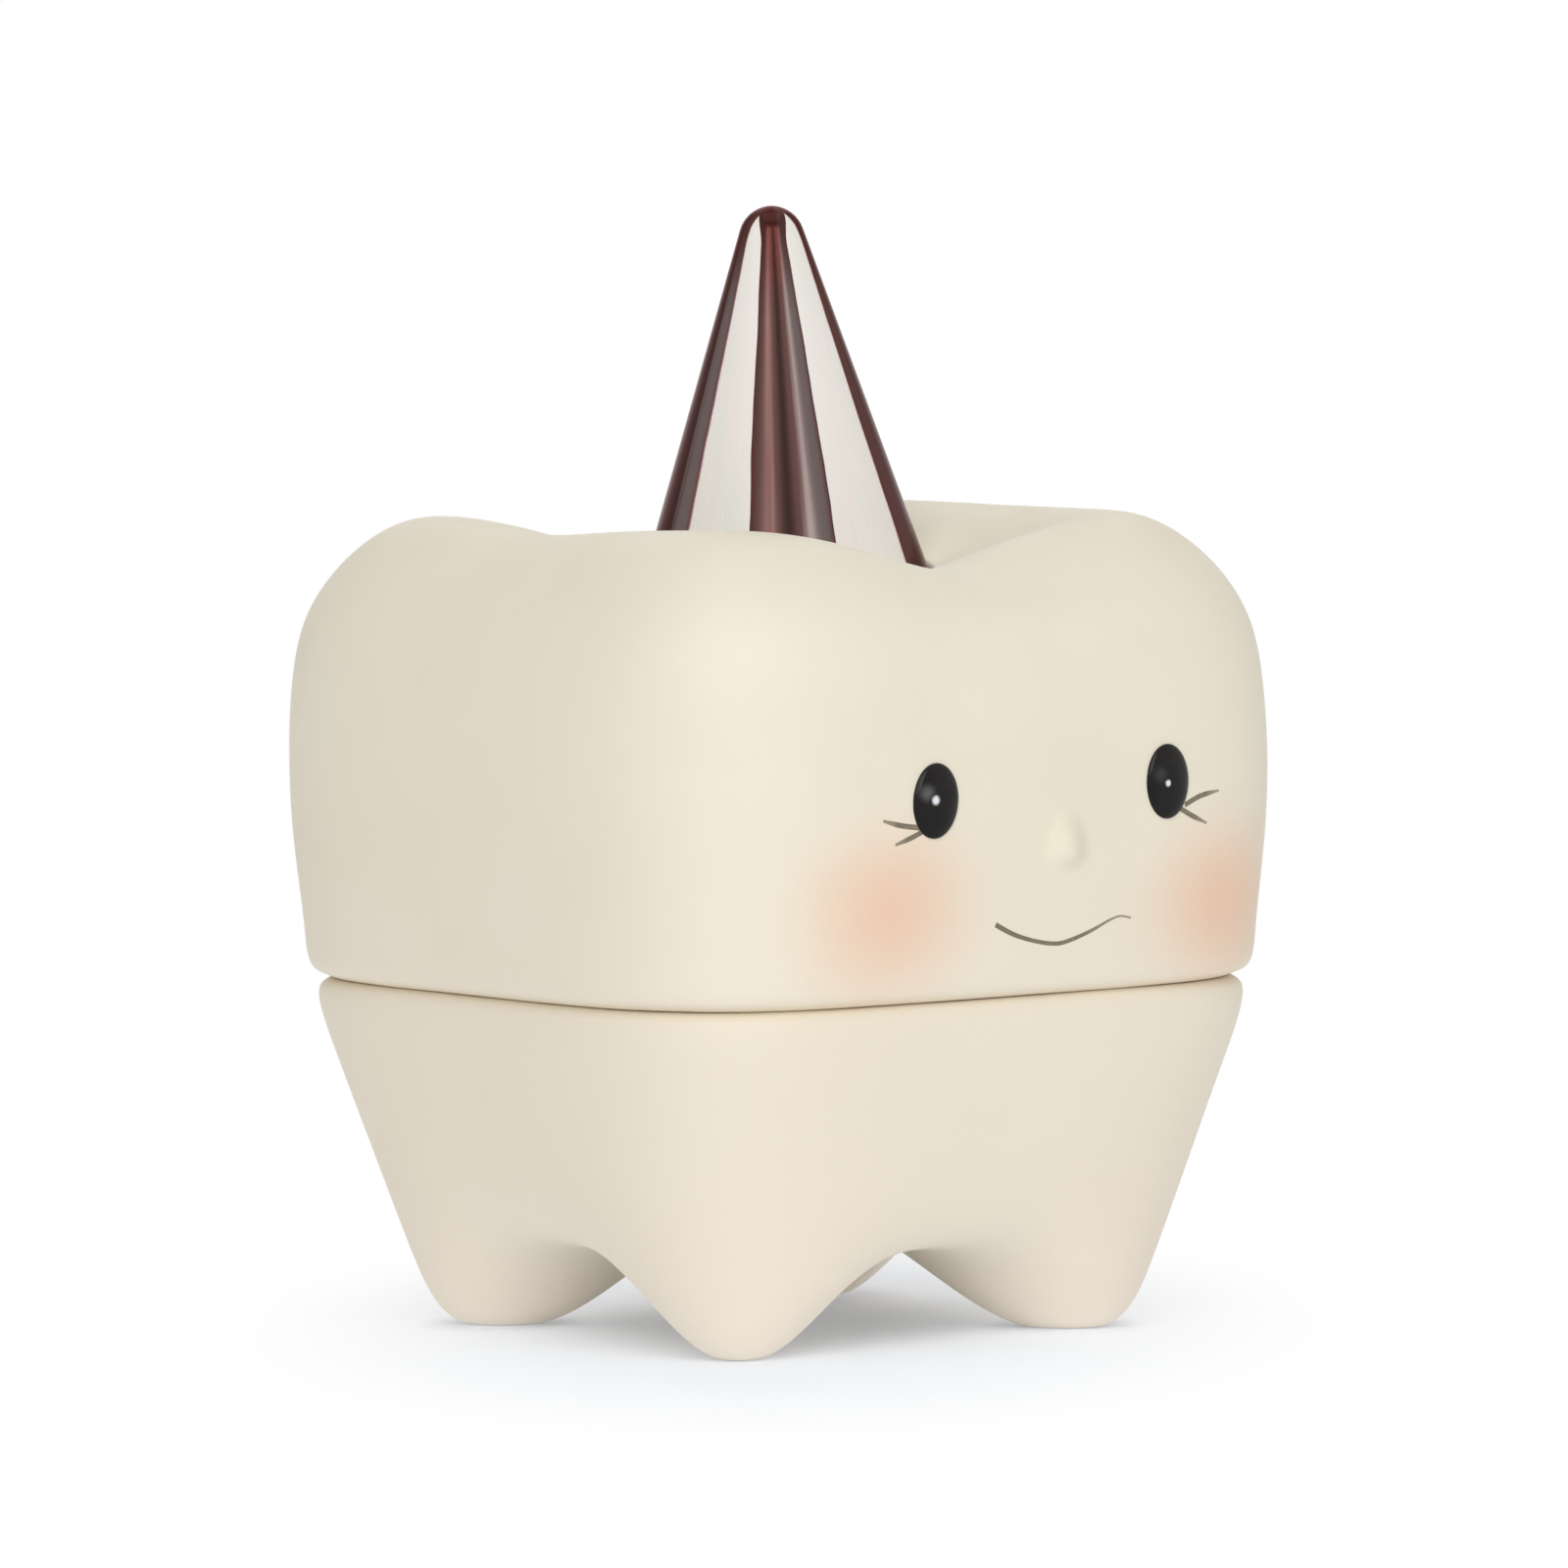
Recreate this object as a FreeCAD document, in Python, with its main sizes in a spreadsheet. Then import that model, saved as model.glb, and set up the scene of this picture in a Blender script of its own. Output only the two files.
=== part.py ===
import FreeCAD, Part
import math
import os
import Sketcher

# Baby tooth box: a cast cup that stands on four roots, a lift-off crown with four cusps that closes it,
# a cone hat pegged into the crown and two domed eyes set in its front.
# Frame: +Z up, origin on the table under the middle of the cup, the face towards -Y.
# Lengths are millimetres and angles are degrees.

Vector = FreeCAD.Vector

# Driving dimensions, by the piece that they belong to
SIZES = {
    # Plan of the tooth, a superellipse
    "body_width": 67.1,
    "body_depth": 68.1,
    "plan_exponent": 4.8,
    # Root base
    "seam_height": 28.8,
    "belly_height": 10.0,
    "well_floor_thickness": 3.5,
    "well_draft": 17.0,
    "well_round": 6.0,
    "rim_height": 3.6,
    "rim_thickness": 2.2,
    "rim_round": 0.6,
    "rim_clearance": 0.4,
    # Crown lid
    "crown_height": 37.6,
    "basin_depth": 5.5,
    "front_groove_depth": 5.4,
    "left_groove_depth": 1.2,
    "back_groove_depth": 5.2,
    "right_groove_depth": 0.1,
    "lid_seat_width": 2.2,
    "lid_mouth_corner": 16.0,
    "lid_roof_thickness": 5.5,
    "lid_roof_round": 8.0,
    # Nose
    "nose_across": 3.9,
    "nose_rise": 12.2,
    "nose_width": 3.4,
    "nose_height": 4.0,
    "nose_depth": 2.0,
    "nose_proud": 1.2,
    "nose_blend": 0.6,
    # Eyes
    "left_eye_across": -9.1,
    "left_eye_rise": 16.2,
    "right_eye_across": 14.3,
    "right_eye_rise": 16.6,
    "eye_width": 4.5,
    "eye_height": 6.0,
    "eye_depth": 1.2,
    "eye_proud": 0.6,
    "eye_fit": 0.05,
    # Party hat
    "hat_height": 31.2,
    "hat_base_diameter": 23.6,
    "hat_tip_radius": 2.7,
    "hat_collar_height": 0.8,
    "hat_peg_diameter": 9.0,
    "hat_peg_length": 3.2,
    "hat_fit": 0.1,
    "hat_seat_depth": 0.6,
    "hat_across": 1.2,
    "hat_lean": 2.0,
    # One overrun serves every cut that leaves the solid
    "cut_overrun": 6.0,
}

# Poles of the sculpted skins: how many go round, and the degree both ways
POLES_AROUND = 40
SKIN_DEGREE = 3

# How close an edge lies to the plane that it is looked for in
LEVEL_TOLERANCE = 1e-6

# Rings of the crown, from the seam over the cusps to the basin:
# shares of the half plan, of the crown's height, of the basin's depth and of the groove's depth
CROWN_RING_SHARES = (
    (0.905, 0.0, 0.0, 0.0),
    (0.958, 0.0, 0.0, 0.0),
    (0.955, 0.09, 0.0, 0.0),
    (0.993, 0.355, 0.0, 0.0),
    (0.985, 0.665, 0.0, 0.0),
    (0.94, 0.853, 0.0, 0.17),
    (0.71, 1.062, 0.0, 1.0),
    (0.415, 1.0, 0.7, 0.3),
    (0.30, 1.0, 1.0, 0.0),
    (0.12, 1.0, 1.0, 0.0),
)
CUSP_EXPONENT = 1.4

# Rings of the root base, from the seam down to the belly, along a root and along the arch between two:
# shares of the half plan, of the seam's height and of the belly's height
ROOT_RING_SHARES = (
    (0.905, 1.0, 0.0),
    (0.935, 1.0, 0.0),
    (0.942, 0.93, 0.0),
    (0.885, 0.735, 0.0),
    (0.74, 0.15, 0.0),
    (0.685, 0.0, -0.13),
    (0.465, 0.0, -0.12),
    (0.29, 0.0, 0.46),
    (0.16, 0.0, 0.84),
    (0.1, 0.0, 1.0),
)
ARCH_RING_SHARES = (
    (0.905, 1.0, 0.0),
    (0.935, 1.0, 0.0),
    (0.942, 0.93, 0.0),
    (0.9, 0.7, 0.0),
    (0.8, 0.37, 0.0),
    (0.66, 0.0, 0.8),
    (0.46, 0.0, 0.72),
    (0.3, 0.0, 0.82),
    (0.16, 0.0, 0.95),
    (0.1, 0.0, 1.0),
)
ROOT_EXPONENT = 4.2


# Document and sheet of sizes
doc = FreeCAD.newDocument("baby_tooth_box")
sheet = doc.addObject("Spreadsheet::Sheet", "sizes")
for row, (alias, value) in enumerate(SIZES.items(), start=1):
    sheet.set("A%d" % row, alias)
    sheet.set("B%d" % row, str(value))
    sheet.setAlias("B%d" % row, alias)
doc.recompute()


def size(alias):
    """Value of a driving dimension."""
    return float(sheet.get(alias))


def bind(item, **formulas):
    """Tie properties of an object to the sheet: $name stands for a cell of it."""
    for name, formula in formulas.items():
        item.setExpression(name.replace("__", "."), formula.replace("$", "sizes."))
    return item


def pole_angles():
    """Polar angles of the poles round a skin."""
    return [math.tau * step / POLES_AROUND for step in range(POLES_AROUND)]


def plan_direction(angle):
    """Point of the superellipse of half size 1 at a polar angle."""
    power = size("plan_exponent")
    across = math.cos(angle)
    along = math.sin(angle)
    reach = (abs(across) ** power + abs(along) ** power) ** (-1 / power)
    return reach * across, reach * along


def corner_share(angle):
    """1 on the four diagonals of the plan, 0 at the middles of its sides."""
    return abs(math.sin(2 * angle))


def skin_solid(columns):
    """Solid inside a smooth skin: a column of poles for each angle, with flat end rings."""
    ring_count = len(columns[0])
    inner_knots = ring_count - SKIN_DEGREE - 1
    surface = Part.BSplineSurface()
    surface.buildFromPolesMultsKnots(
        columns,
        [1] * (len(columns) + 1),
        [SKIN_DEGREE + 1] + [1] * inner_knots + [SKIN_DEGREE + 1],
        list(range(len(columns) + 1)),
        list(range(inner_knots + 2)),
        True,
        False,
        SKIN_DEGREE,
        SKIN_DEGREE,
    )
    skin = surface.toShape()
    caps = [Part.Face(Part.Wire([edge])) for edge in skin.Edges if edge.isClosed()]
    shell = Part.Shell([skin] + caps)
    shell.sewShape()
    solid = Part.Solid(shell)
    if solid.Volume < 0:
        solid.reverse()
    return solid


def add_skin(name, ring_at):
    """Skin whose ring_at gives each ring's share of the half plan and its height at an angle."""
    half_width = size("body_width") / 2
    half_depth = size("body_depth") / 2
    columns = []
    for angle in pole_angles():
        across, along = plan_direction(angle)
        rings = ring_at(angle)
        columns.append([Vector(half_width * r * across, half_depth * r * along, z) for r, z in rings])
    feature = doc.addObject("Part::Feature", name)
    feature.Shape = skin_solid(columns)
    return feature


def groove_depth(angle):
    """Depth of the groove between two cusps, on the side of the plan that an angle faces."""
    sides = ("right", "back", "left", "front")
    side = sides[round(angle / (math.pi / 2)) % len(sides)]
    return size(side + "_groove_depth") * (1 - corner_share(angle) ** CUSP_EXPONENT)


def crown_rings(angle):
    """Rings of the crown: bulging walls, four rounded cusps and the basin between them."""
    groove = groove_depth(angle)
    rings = []
    for radius, crown, basin, drop in CROWN_RING_SHARES:
        rise = crown * size("crown_height") - basin * size("basin_depth") - drop * groove
        rings.append((radius, size("seam_height") + rise))
    return rings


def root_rings(angle):
    """Rings of the base: each pole is blended between a root and the arch beside it."""
    root = corner_share(angle) ** ROOT_EXPONENT
    rings = []
    for root_shares, arch_shares in zip(ROOT_RING_SHARES, ARCH_RING_SHARES):
        radius, seam, belly = [root * a + (1 - root) * b for a, b in zip(root_shares, arch_shares)]
        rings.append((radius, seam * size("seam_height") + belly * size("belly_height")))
    return rings


def cut(name, base, tool):
    """Base less tool."""
    result = doc.addObject("Part::Cut", name)
    result.Base = base
    result.Tool = tool
    return result


def fuse(name, pieces):
    """Several shapes as one."""
    result = doc.addObject("Part::MultiFuse", name)
    result.Shapes = pieces
    return result


# Rounded prisms: the mouth of the lid and, inside it at named insets, the rim and the well
def mouth_formulas(inset):
    """Width, depth and corner radius of the lid's mouth, drawn in by an inset."""
    foot_share = CROWN_RING_SHARES[0][0]
    drawn_in = "2 * ($lid_seat_width + %s)" % inset
    width = "$body_width * %s - %s" % (foot_share, drawn_in)
    depth = "$body_depth * %s - %s" % (foot_share, drawn_in)
    return width, depth, "$lid_mouth_corner - (%s)" % inset


def value_of(formula):
    """Number that a formula on the sheet comes to."""
    return float(sheet.evalExpression(formula.replace("$", "")))


def draw_rounded_rectangle(sketch, formulas):
    """Rectangle with equal round corners about the origin; its sizes follow the sheet."""
    width, depth, corner = [value_of(formula) for formula in formulas]
    inner_x = width / 2 - corner
    inner_y = depth / 2 - corner
    quarter = math.pi / 2
    centres = ((inner_x, inner_y), (-inner_x, inner_y), (-inner_x, -inner_y), (inner_x, -inner_y))
    arcs = []
    for turn, (across, along) in enumerate(centres):
        circle = Part.Circle(Vector(across, along, 0), Vector(0, 0, 1), corner)
        arc = Part.ArcOfCircle(circle, turn * quarter, (turn + 1) * quarter)
        arcs.append(sketch.addGeometry(arc))
    start, end, middle = 1, 2, 3
    sides = []
    for arc, following in zip(arcs, arcs[1:] + arcs[:1]):
        ends = sketch.getPoint(arc, end), sketch.getPoint(following, start)
        side = sketch.addGeometry(Part.LineSegment(*ends))
        sketch.addConstraint(Sketcher.Constraint("Tangent", arc, end, side, start))
        sketch.addConstraint(Sketcher.Constraint("Tangent", side, end, following, start))
        sides.append(side)
    top, left, bottom, right = sides
    for arc in arcs[1:]:
        sketch.addConstraint(Sketcher.Constraint("Equal", arcs[0], arc))
    sketch.addConstraint(Sketcher.Constraint("Horizontal", top))
    sketch.addConstraint(Sketcher.Constraint("Vertical", left))
    sketch.addConstraint(Sketcher.Constraint("Symmetric", arcs[0], middle, arcs[2], middle, -1, 1))
    places = (
        ("DistanceX", (left, start, right, end), width, formulas[0]),
        ("DistanceY", (bottom, start, top, end), depth, formulas[1]),
        ("Radius", (arcs[0],), corner, formulas[2]),
    )
    for kind, ends, value, formula in places:
        index = sketch.addConstraint(Sketcher.Constraint(kind, *ends, value))
        sketch.setExpression("Constraints[%d]" % index, formula.replace("$", "sizes."))


def rounded_prism(name, inset, level, length, down=False, draft="0", edge_round=None):
    """Prism on the mouth's plan from a level up or down, with a draft and a rounded far edge."""
    body = doc.addObject("PartDesign::Body", name)
    sketch = body.newObject("Sketcher::SketchObject", name + "_plan")
    planes = {plane.Role: plane for plane in body.Origin.OriginFeatures}
    sketch.AttachmentSupport = [(planes["XY_Plane"], "")]
    sketch.MapMode = "FlatFace"
    draw_rounded_rectangle(sketch, mouth_formulas(inset))
    pad = body.newObject("PartDesign::Pad", name + "_pad")
    pad.Profile = sketch
    pad.Reversed = down
    bind(pad, Length=length, TaperAngle=draft)
    bind(body, Placement__Base__z=level)
    body.Tip = pad
    doc.recompute()
    if edge_round:
        box = pad.Shape.BoundBox
        rounded = body.newObject("PartDesign::Fillet", name + "_round")
        rounded.Base = (pad, edges_at(pad.Shape, box.ZMin if down else box.ZMax))
        bind(rounded, Radius=edge_round)
        body.Tip = rounded
    return body


def edges_at(shape, level):
    """Names of the edges that lie in a level plane."""
    names = []
    for index, edge in enumerate(shape.Edges, start=1):
        box = edge.BoundBox
        if abs(box.ZMin - level) < LEVEL_TOLERANCE and abs(box.ZMax - level) < LEVEL_TOLERANCE:
            names.append("Edge%d" % index)
    return names


# Root base: four roots cut flat on the table, an upstanding rim that locates the lid, and the well
def make_root_base():
    roots = add_skin("roots", root_rings)
    table = bind(
        doc.addObject("Part::Box", "table_cut"),
        Length="2 * $body_width",
        Width="2 * $body_depth",
        Height="$cut_overrun",
        Placement__Base__x="-$body_width",
        Placement__Base__y="-$body_depth",
        Placement__Base__z="-$cut_overrun",
    )
    rim = rounded_prism(
        "locating_rim",
        inset="$rim_clearance",
        level="$seam_height - $cut_overrun",
        length="$rim_height + $cut_overrun",
        edge_round="$rim_round",
    )
    well = rounded_prism(
        "tooth_well",
        inset="$rim_clearance + $rim_thickness",
        level="$seam_height + $rim_height",
        length="$seam_height + $rim_height - $belly_height - $well_floor_thickness",
        down=True,
        draft="-$well_draft",
        edge_round="$well_round",
    )
    standing = cut("standing_roots", roots, table)
    return cut("root_base", fuse("rimmed_roots", [standing, rim]), well)


# Seats on the crown's front for the nose and the eyes
def front_seat(crown, across, rise):
    """Placement on the crown's front: local X up the skin, local Z out of it."""
    height = size("seam_height") + rise
    start = Vector(across, -size("body_depth"), height)
    line = Part.makeLine(start, Vector(across, 0, height))
    inside = line.common(crown.Shape)
    point = min((vertex.Point for vertex in inside.Vertexes), key=lambda place: place.y)
    skin = max(crown.Shape.Faces, key=lambda face: face.Area)
    outward = skin.normalAt(*skin.Surface.parameter(point))
    if outward.y > 0:
        outward = -outward
    leftward = outward.cross(Vector(0, 0, 1))
    upward = leftward.cross(outward)
    return FreeCAD.Placement(point, FreeCAD.Rotation(upward, leftward, outward, "ZXY"))


def out_of(seat, rise):
    """The seat moved out of the skin, or into it where the rise is negative."""
    return seat.multiply(FreeCAD.Placement(Vector(0, 0, rise), FreeCAD.Rotation()))


# Eyes: oval buttons with a domed face, each in an oval pocket with a flat floor
def add_oval(name, seat, sunk, room, length):
    """Oval prism of an eye's outline, widened by a room, from a depth under the skin outwards."""
    outline = bind(
        doc.addObject("Part::Ellipse", name + "_outline"),
        MajorRadius="$eye_height / 2 + " + room,
        MinorRadius="$eye_width / 2 + " + room,
    )
    outline.Placement = out_of(seat, -sunk)
    prism = doc.addObject("Part::Extrusion", name)
    prism.Base = outline
    prism.DirMode = "Custom"
    prism.Dir = seat.Rotation.multVec(Vector(0, 0, 1))
    prism.Solid = True
    return bind(prism, LengthFwd=length)


def make_eye(name, seat):
    """Oval button whose domed face meets the skin at the ends of the oval."""
    half_height = size("eye_height") / 2
    proud = size("eye_proud")
    dome_radius = (half_height**2 + proud**2) / (2 * proud)
    button = add_oval(name + "_button", seat, size("eye_depth"), "0", "$eye_depth + $eye_proud")
    dome = bind(
        doc.addObject("Part::Sphere", name + "_dome"),
        Radius="(($eye_height / 2) ^ 2 + $eye_proud ^ 2) / (2 * $eye_proud)",
    )
    dome.Placement = out_of(seat, proud - dome_radius)
    eye = doc.addObject("Part::Common", name)
    eye.Base = button
    eye.Tool = dome
    return eye


def eye_pocket(name, seat):
    """Room for an eye, with its fit all round."""
    sunk = size("eye_depth") + size("eye_fit")
    return add_oval(name + "_pocket", seat, sunk, "$eye_fit", "$eye_depth + $eye_fit + $cut_overrun")


# Nose: part of an ellipsoid, blended into the front
def add_nose(seat):
    """Ellipsoid sunk in the skin, of the nose's width and height where it comes out."""
    waist = "(2 * sqrt(1 - (1 - $nose_proud / $nose_depth) ^ 2))"
    nose = bind(
        doc.addObject("Part::Ellipsoid", "nose"),
        Radius1="$nose_depth",
        Radius2="$nose_height / " + waist,
        Radius3="$nose_width / " + waist,
    )
    nose.Placement = out_of(seat, size("nose_proud") - size("nose_depth"))
    return nose


# Party hat: a cone with a rounded tip, on a low collar and a peg, turned from one half section
def make_party_hat():
    hat = doc.addObject("PartDesign::Body", "party_hat")
    sketch = hat.newObject("Sketcher::SketchObject", "hat_section")
    planes = {plane.Role: plane for plane in hat.Origin.OriginFeatures}
    sketch.AttachmentSupport = [(planes["XZ_Plane"], "")]
    sketch.MapMode = "FlatFace"
    draw_hat_section(sketch)
    turned = hat.newObject("PartDesign::Revolution", "hat_turned")
    turned.Profile = sketch
    turned.ReferenceAxis = (sketch, ["V_Axis"])
    turned.Angle = 360
    hat.Tip = turned
    hat.Placement = hat_placement()
    return hat


def draw_hat_section(sketch):
    """Half section from the foot of the peg to the tip, with the tip's arc tangent to the cone."""
    peg = size("hat_peg_diameter") / 2
    foot = size("hat_base_diameter") / 2
    collar = size("hat_collar_height")
    peg_foot = -size("hat_peg_length")
    tip = size("hat_tip_radius")
    centre = size("hat_height") - tip
    slope = math.atan2(foot, centre - collar) - math.asin(tip / math.hypot(foot, centre - collar))
    shoulder = (tip * math.cos(slope), centre + tip * math.sin(slope))
    corners = [(0, peg_foot), (peg, peg_foot), (peg, 0), (foot, 0), (foot, collar), shoulder]
    points = [Vector(across, rise, 0) for across, rise in corners]
    for start, end in zip(points, points[1:]):
        sketch.addGeometry(Part.LineSegment(start, end))
    circle = Part.Circle(Vector(0, centre, 0), Vector(0, 0, 1), tip)
    arc = sketch.addGeometry(Part.ArcOfCircle(circle, slope, math.pi / 2))
    axis = sketch.addGeometry(Part.LineSegment(Vector(0, centre + tip, 0), points[0]))
    constrain_hat_section(sketch, arc, axis)


def constrain_hat_section(sketch, arc, axis):
    """Joins, directions and sizes of the half section; its sizes follow the sheet."""
    peg_foot, peg_side, underside, collar_side, cone = range(5)
    start, end, middle = 1, 2, 3
    origin, vertical = (-1, 1), -2
    for line in (peg_foot, peg_side, underside, collar_side):
        sketch.addConstraint(Sketcher.Constraint("Coincident", line, end, line + 1, start))
    sketch.addConstraint(Sketcher.Constraint("Tangent", cone, end, arc, start))
    sketch.addConstraint(Sketcher.Constraint("Coincident", arc, end, axis, start))
    sketch.addConstraint(Sketcher.Constraint("Coincident", axis, end, peg_foot, start))
    sketch.addConstraint(Sketcher.Constraint("PointOnObject", axis, start, vertical))
    sketch.addConstraint(Sketcher.Constraint("PointOnObject", axis, end, vertical))
    sketch.addConstraint(Sketcher.Constraint("PointOnObject", arc, middle, vertical))
    for line in (peg_foot, underside):
        sketch.addConstraint(Sketcher.Constraint("Horizontal", line))
    for line in (peg_side, collar_side):
        sketch.addConstraint(Sketcher.Constraint("Vertical", line))
    sizes = (
        ("DistanceX", (*origin, peg_side, end), "$hat_peg_diameter / 2"),
        ("DistanceY", (peg_side, start, *origin), "$hat_peg_length"),
        ("DistanceX", (*origin, underside, end), "$hat_base_diameter / 2"),
        ("DistanceY", (underside, end, collar_side, end), "$hat_collar_height"),
        ("DistanceY", (*origin, arc, end), "$hat_height"),
        ("Radius", (arc,), "$hat_tip_radius"),
    )
    sketch.addConstraint(Sketcher.Constraint("PointOnObject", underside, start, -1))
    for kind, places, formula in sizes:
        index = sketch.addConstraint(Sketcher.Constraint(kind, *places, value_of(formula)))
        sketch.setExpression("Constraints[%d]" % index, formula.replace("$", "sizes."))


def hat_placement():
    """Foot of the hat in the basin, beside the middle and leaning to the left."""
    basin = size("seam_height") + size("crown_height") - size("basin_depth")
    foot = Vector(size("hat_across"), 0, basin - size("hat_seat_depth"))
    return FreeCAD.Placement(foot, FreeCAD.Rotation(Vector(0, 1, 0), -size("hat_lean")))


def blend_nose(crown):
    """Crown with the nose on its front, and the edge between them filled by a small fillet."""
    seat = front_seat(crown, size("nose_across"), size("nose_rise"))
    faced = fuse("crown_with_nose", [crown, add_nose(seat)])
    doc.recompute()
    radius = size("nose_blend")
    reach = size("nose_height")
    around = []
    for index, edge in enumerate(faced.Shape.Edges, start=1):
        if edge.BoundBox.Center.distanceToPoint(seat.Base) < reach:
            around.append((index, radius, radius))
    blended = doc.addObject("Part::Fillet", "nose_blended")
    blended.Base = faced
    blended.Edges = around
    return blended


# Crown lid: bulging walls, cusps and nose outside, one hollow inside, seats for the hat and the eyes
def make_crown_lid(crown, eye_seats):
    faced = blend_nose(crown)
    hollow = rounded_prism(
        "lid_hollow",
        inset="0",
        level="$seam_height - $cut_overrun",
        length="$cut_overrun + $crown_height - $basin_depth - $lid_roof_thickness",
        edge_round="$lid_roof_round",
    )
    seat = bind(
        doc.addObject("Part::Cylinder", "hat_seat"),
        Radius="$hat_base_diameter / 2 + $hat_fit",
        Height="$cut_overrun",
    )
    seat.Placement = hat_placement()
    peg_hole = bind(
        doc.addObject("Part::Cylinder", "hat_peg_hole"),
        Radius="$hat_peg_diameter / 2 + $hat_fit",
        Height="$hat_peg_length + $hat_fit + $cut_overrun",
    )
    drop = Vector(0, 0, -size("hat_peg_length") - size("hat_fit"))
    peg_hole.Placement = hat_placement().multiply(FreeCAD.Placement(drop, FreeCAD.Rotation()))
    pockets = [eye_pocket(eye, place) for eye, place in eye_seats.items()]
    recesses = fuse("lid_recesses", [hollow, seat, peg_hole] + pockets)
    return cut("crown_lid", faced, recesses)


# Assembly
def build():
    crown = add_skin("crown", crown_rings)
    eye_seats = {}
    for eye in ("left_eye", "right_eye"):
        eye_seats[eye] = front_seat(crown, size(eye + "_across"), size(eye + "_rise"))
    pieces = [make_root_base(), make_crown_lid(crown, eye_seats), make_party_hat()]
    for eye, seat in eye_seats.items():
        pieces.append(make_eye(eye, seat))
    doc.recompute()
    return pieces


def check(pieces):
    """Stop before anything is written if an object failed or a piece is not one sound solid."""
    for item in doc.Objects:
        if "Invalid" in item.State or "Error" in item.State:
            raise RuntimeError("%s failed: %s" % (item.Name, item.State))
    for piece in pieces:
        shape = piece.Shape
        if shape.isNull() or not shape.isValid() or len(shape.Solids) != 1:
            raise RuntimeError("%s is not one sound solid" % piece.Label)


def write(pieces):
    """One file for each piece, named by its label."""
    os.makedirs("parts", exist_ok=True)
    for piece in pieces:
        piece.Shape.exportStep("parts/%s.step" % piece.Label)
        print(piece.Label, round(piece.Shape.Volume), piece.Shape.BoundBox)


made = build()
check(made)
write(made)
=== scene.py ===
import math

import bpy
import numpy as np
from bpy.props import FloatProperty, FloatVectorProperty, IntProperty, PointerProperty
from mathutils import Matrix, Vector
from mathutils.bvhtree import BVHTree


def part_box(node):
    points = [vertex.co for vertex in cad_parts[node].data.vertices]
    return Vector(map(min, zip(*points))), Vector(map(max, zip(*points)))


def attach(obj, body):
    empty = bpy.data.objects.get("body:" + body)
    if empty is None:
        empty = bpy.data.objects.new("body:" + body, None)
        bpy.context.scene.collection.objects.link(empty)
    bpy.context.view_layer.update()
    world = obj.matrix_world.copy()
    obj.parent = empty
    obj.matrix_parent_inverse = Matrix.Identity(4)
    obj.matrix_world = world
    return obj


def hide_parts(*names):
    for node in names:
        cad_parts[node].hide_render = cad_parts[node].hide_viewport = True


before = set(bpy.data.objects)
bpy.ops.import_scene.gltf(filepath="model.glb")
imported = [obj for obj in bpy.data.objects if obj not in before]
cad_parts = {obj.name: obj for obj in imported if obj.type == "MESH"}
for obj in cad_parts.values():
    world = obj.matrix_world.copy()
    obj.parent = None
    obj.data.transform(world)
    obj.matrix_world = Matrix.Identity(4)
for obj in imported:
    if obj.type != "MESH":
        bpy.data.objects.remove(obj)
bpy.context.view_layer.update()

bl_info = {
    "name": "Baby Tooth Box",
    "version": (1, 0, 0),
    "blender": (4, 5, 0),
    "location": "View3D > Sidebar > Tooth Box",
    "description": "A molar-shaped keepsake box with a lift-off crown, a painted face and a striped hat",
    "category": "Add Mesh",
}

# Places that come straight from the frame
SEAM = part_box("crown_lid")[0].z
RIM_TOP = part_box("root_base")[1].z
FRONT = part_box("crown_lid")[0].y

# The photograph's frame in pixels and the camera's sensor in millimetres
PHOTO_PIXELS = 1600
SENSOR = 36

# Rings of the crown, from the seam over the cusps to the basin:
# shares of the half plan, of the crown's height, of the basin's depth and of the groove's depth
CROWN_RING_SHARES = (
    (0.905, 0.0, 0.0, 0.0),
    (0.958, 0.0, 0.0, 0.0),
    (0.955, 0.09, 0.0, 0.0),
    (0.993, 0.355, 0.0, 0.0),
    (0.985, 0.665, 0.0, 0.0),
    (0.94, 0.853, 0.0, 0.17),
    (0.71, 1.062, 0.0, 1.0),
    (0.415, 1.0, 0.7, 0.3),
    (0.30, 1.0, 1.0, 0.0),
    (0.12, 1.0, 1.0, 0.0),
)
# Rings of the base, from the seam down to the belly, along a root and along the arch between two:
# shares of the half plan, of the seam's height and of the belly's height
ROOT_RING_SHARES = (
    (0.905, 1.0, 0.0),
    (0.935, 1.0, 0.0),
    (0.942, 0.93, 0.0),
    (0.885, 0.735, 0.0),
    (0.74, 0.15, 0.0),
    (0.685, 0.0, -0.13),
    (0.465, 0.0, -0.12),
    (0.29, 0.0, 0.46),
    (0.16, 0.0, 0.84),
    (0.1, 0.0, 1.0),
)
ARCH_RING_SHARES = (
    (0.905, 1.0, 0.0),
    (0.935, 1.0, 0.0),
    (0.942, 0.93, 0.0),
    (0.9, 0.7, 0.0),
    (0.8, 0.37, 0.0),
    (0.66, 0.0, 0.8),
    (0.46, 0.0, 0.72),
    (0.3, 0.0, 0.82),
    (0.16, 0.0, 0.95),
    (0.1, 0.0, 1.0),
)
POLES_AROUND = 40
SPLINE_DEGREE = 3
CUSP_EXPONENT = 1.4
ROOT_EXPONENT = 4.2

# Where the hollows' flat ends begin to close, as shares of the mouth's corner radius
ROOF_INSET = 0.8
FLOOR_INSET = 0.9
# Roundings of the hat's peg and foot, in thicknesses of its paint
PEG_EDGE = 6
PEG_ROOT = 3
FOOT_EDGE = 5
# A glint's height and depth and the edge of its paint, as shares of its diameter
GLINT_PROUD = 1 / 12
GLINT_SUNK = 1 / 8
GLINT_STRAY = 1 / 12
GLINT_FULL = 1 / 6

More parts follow.
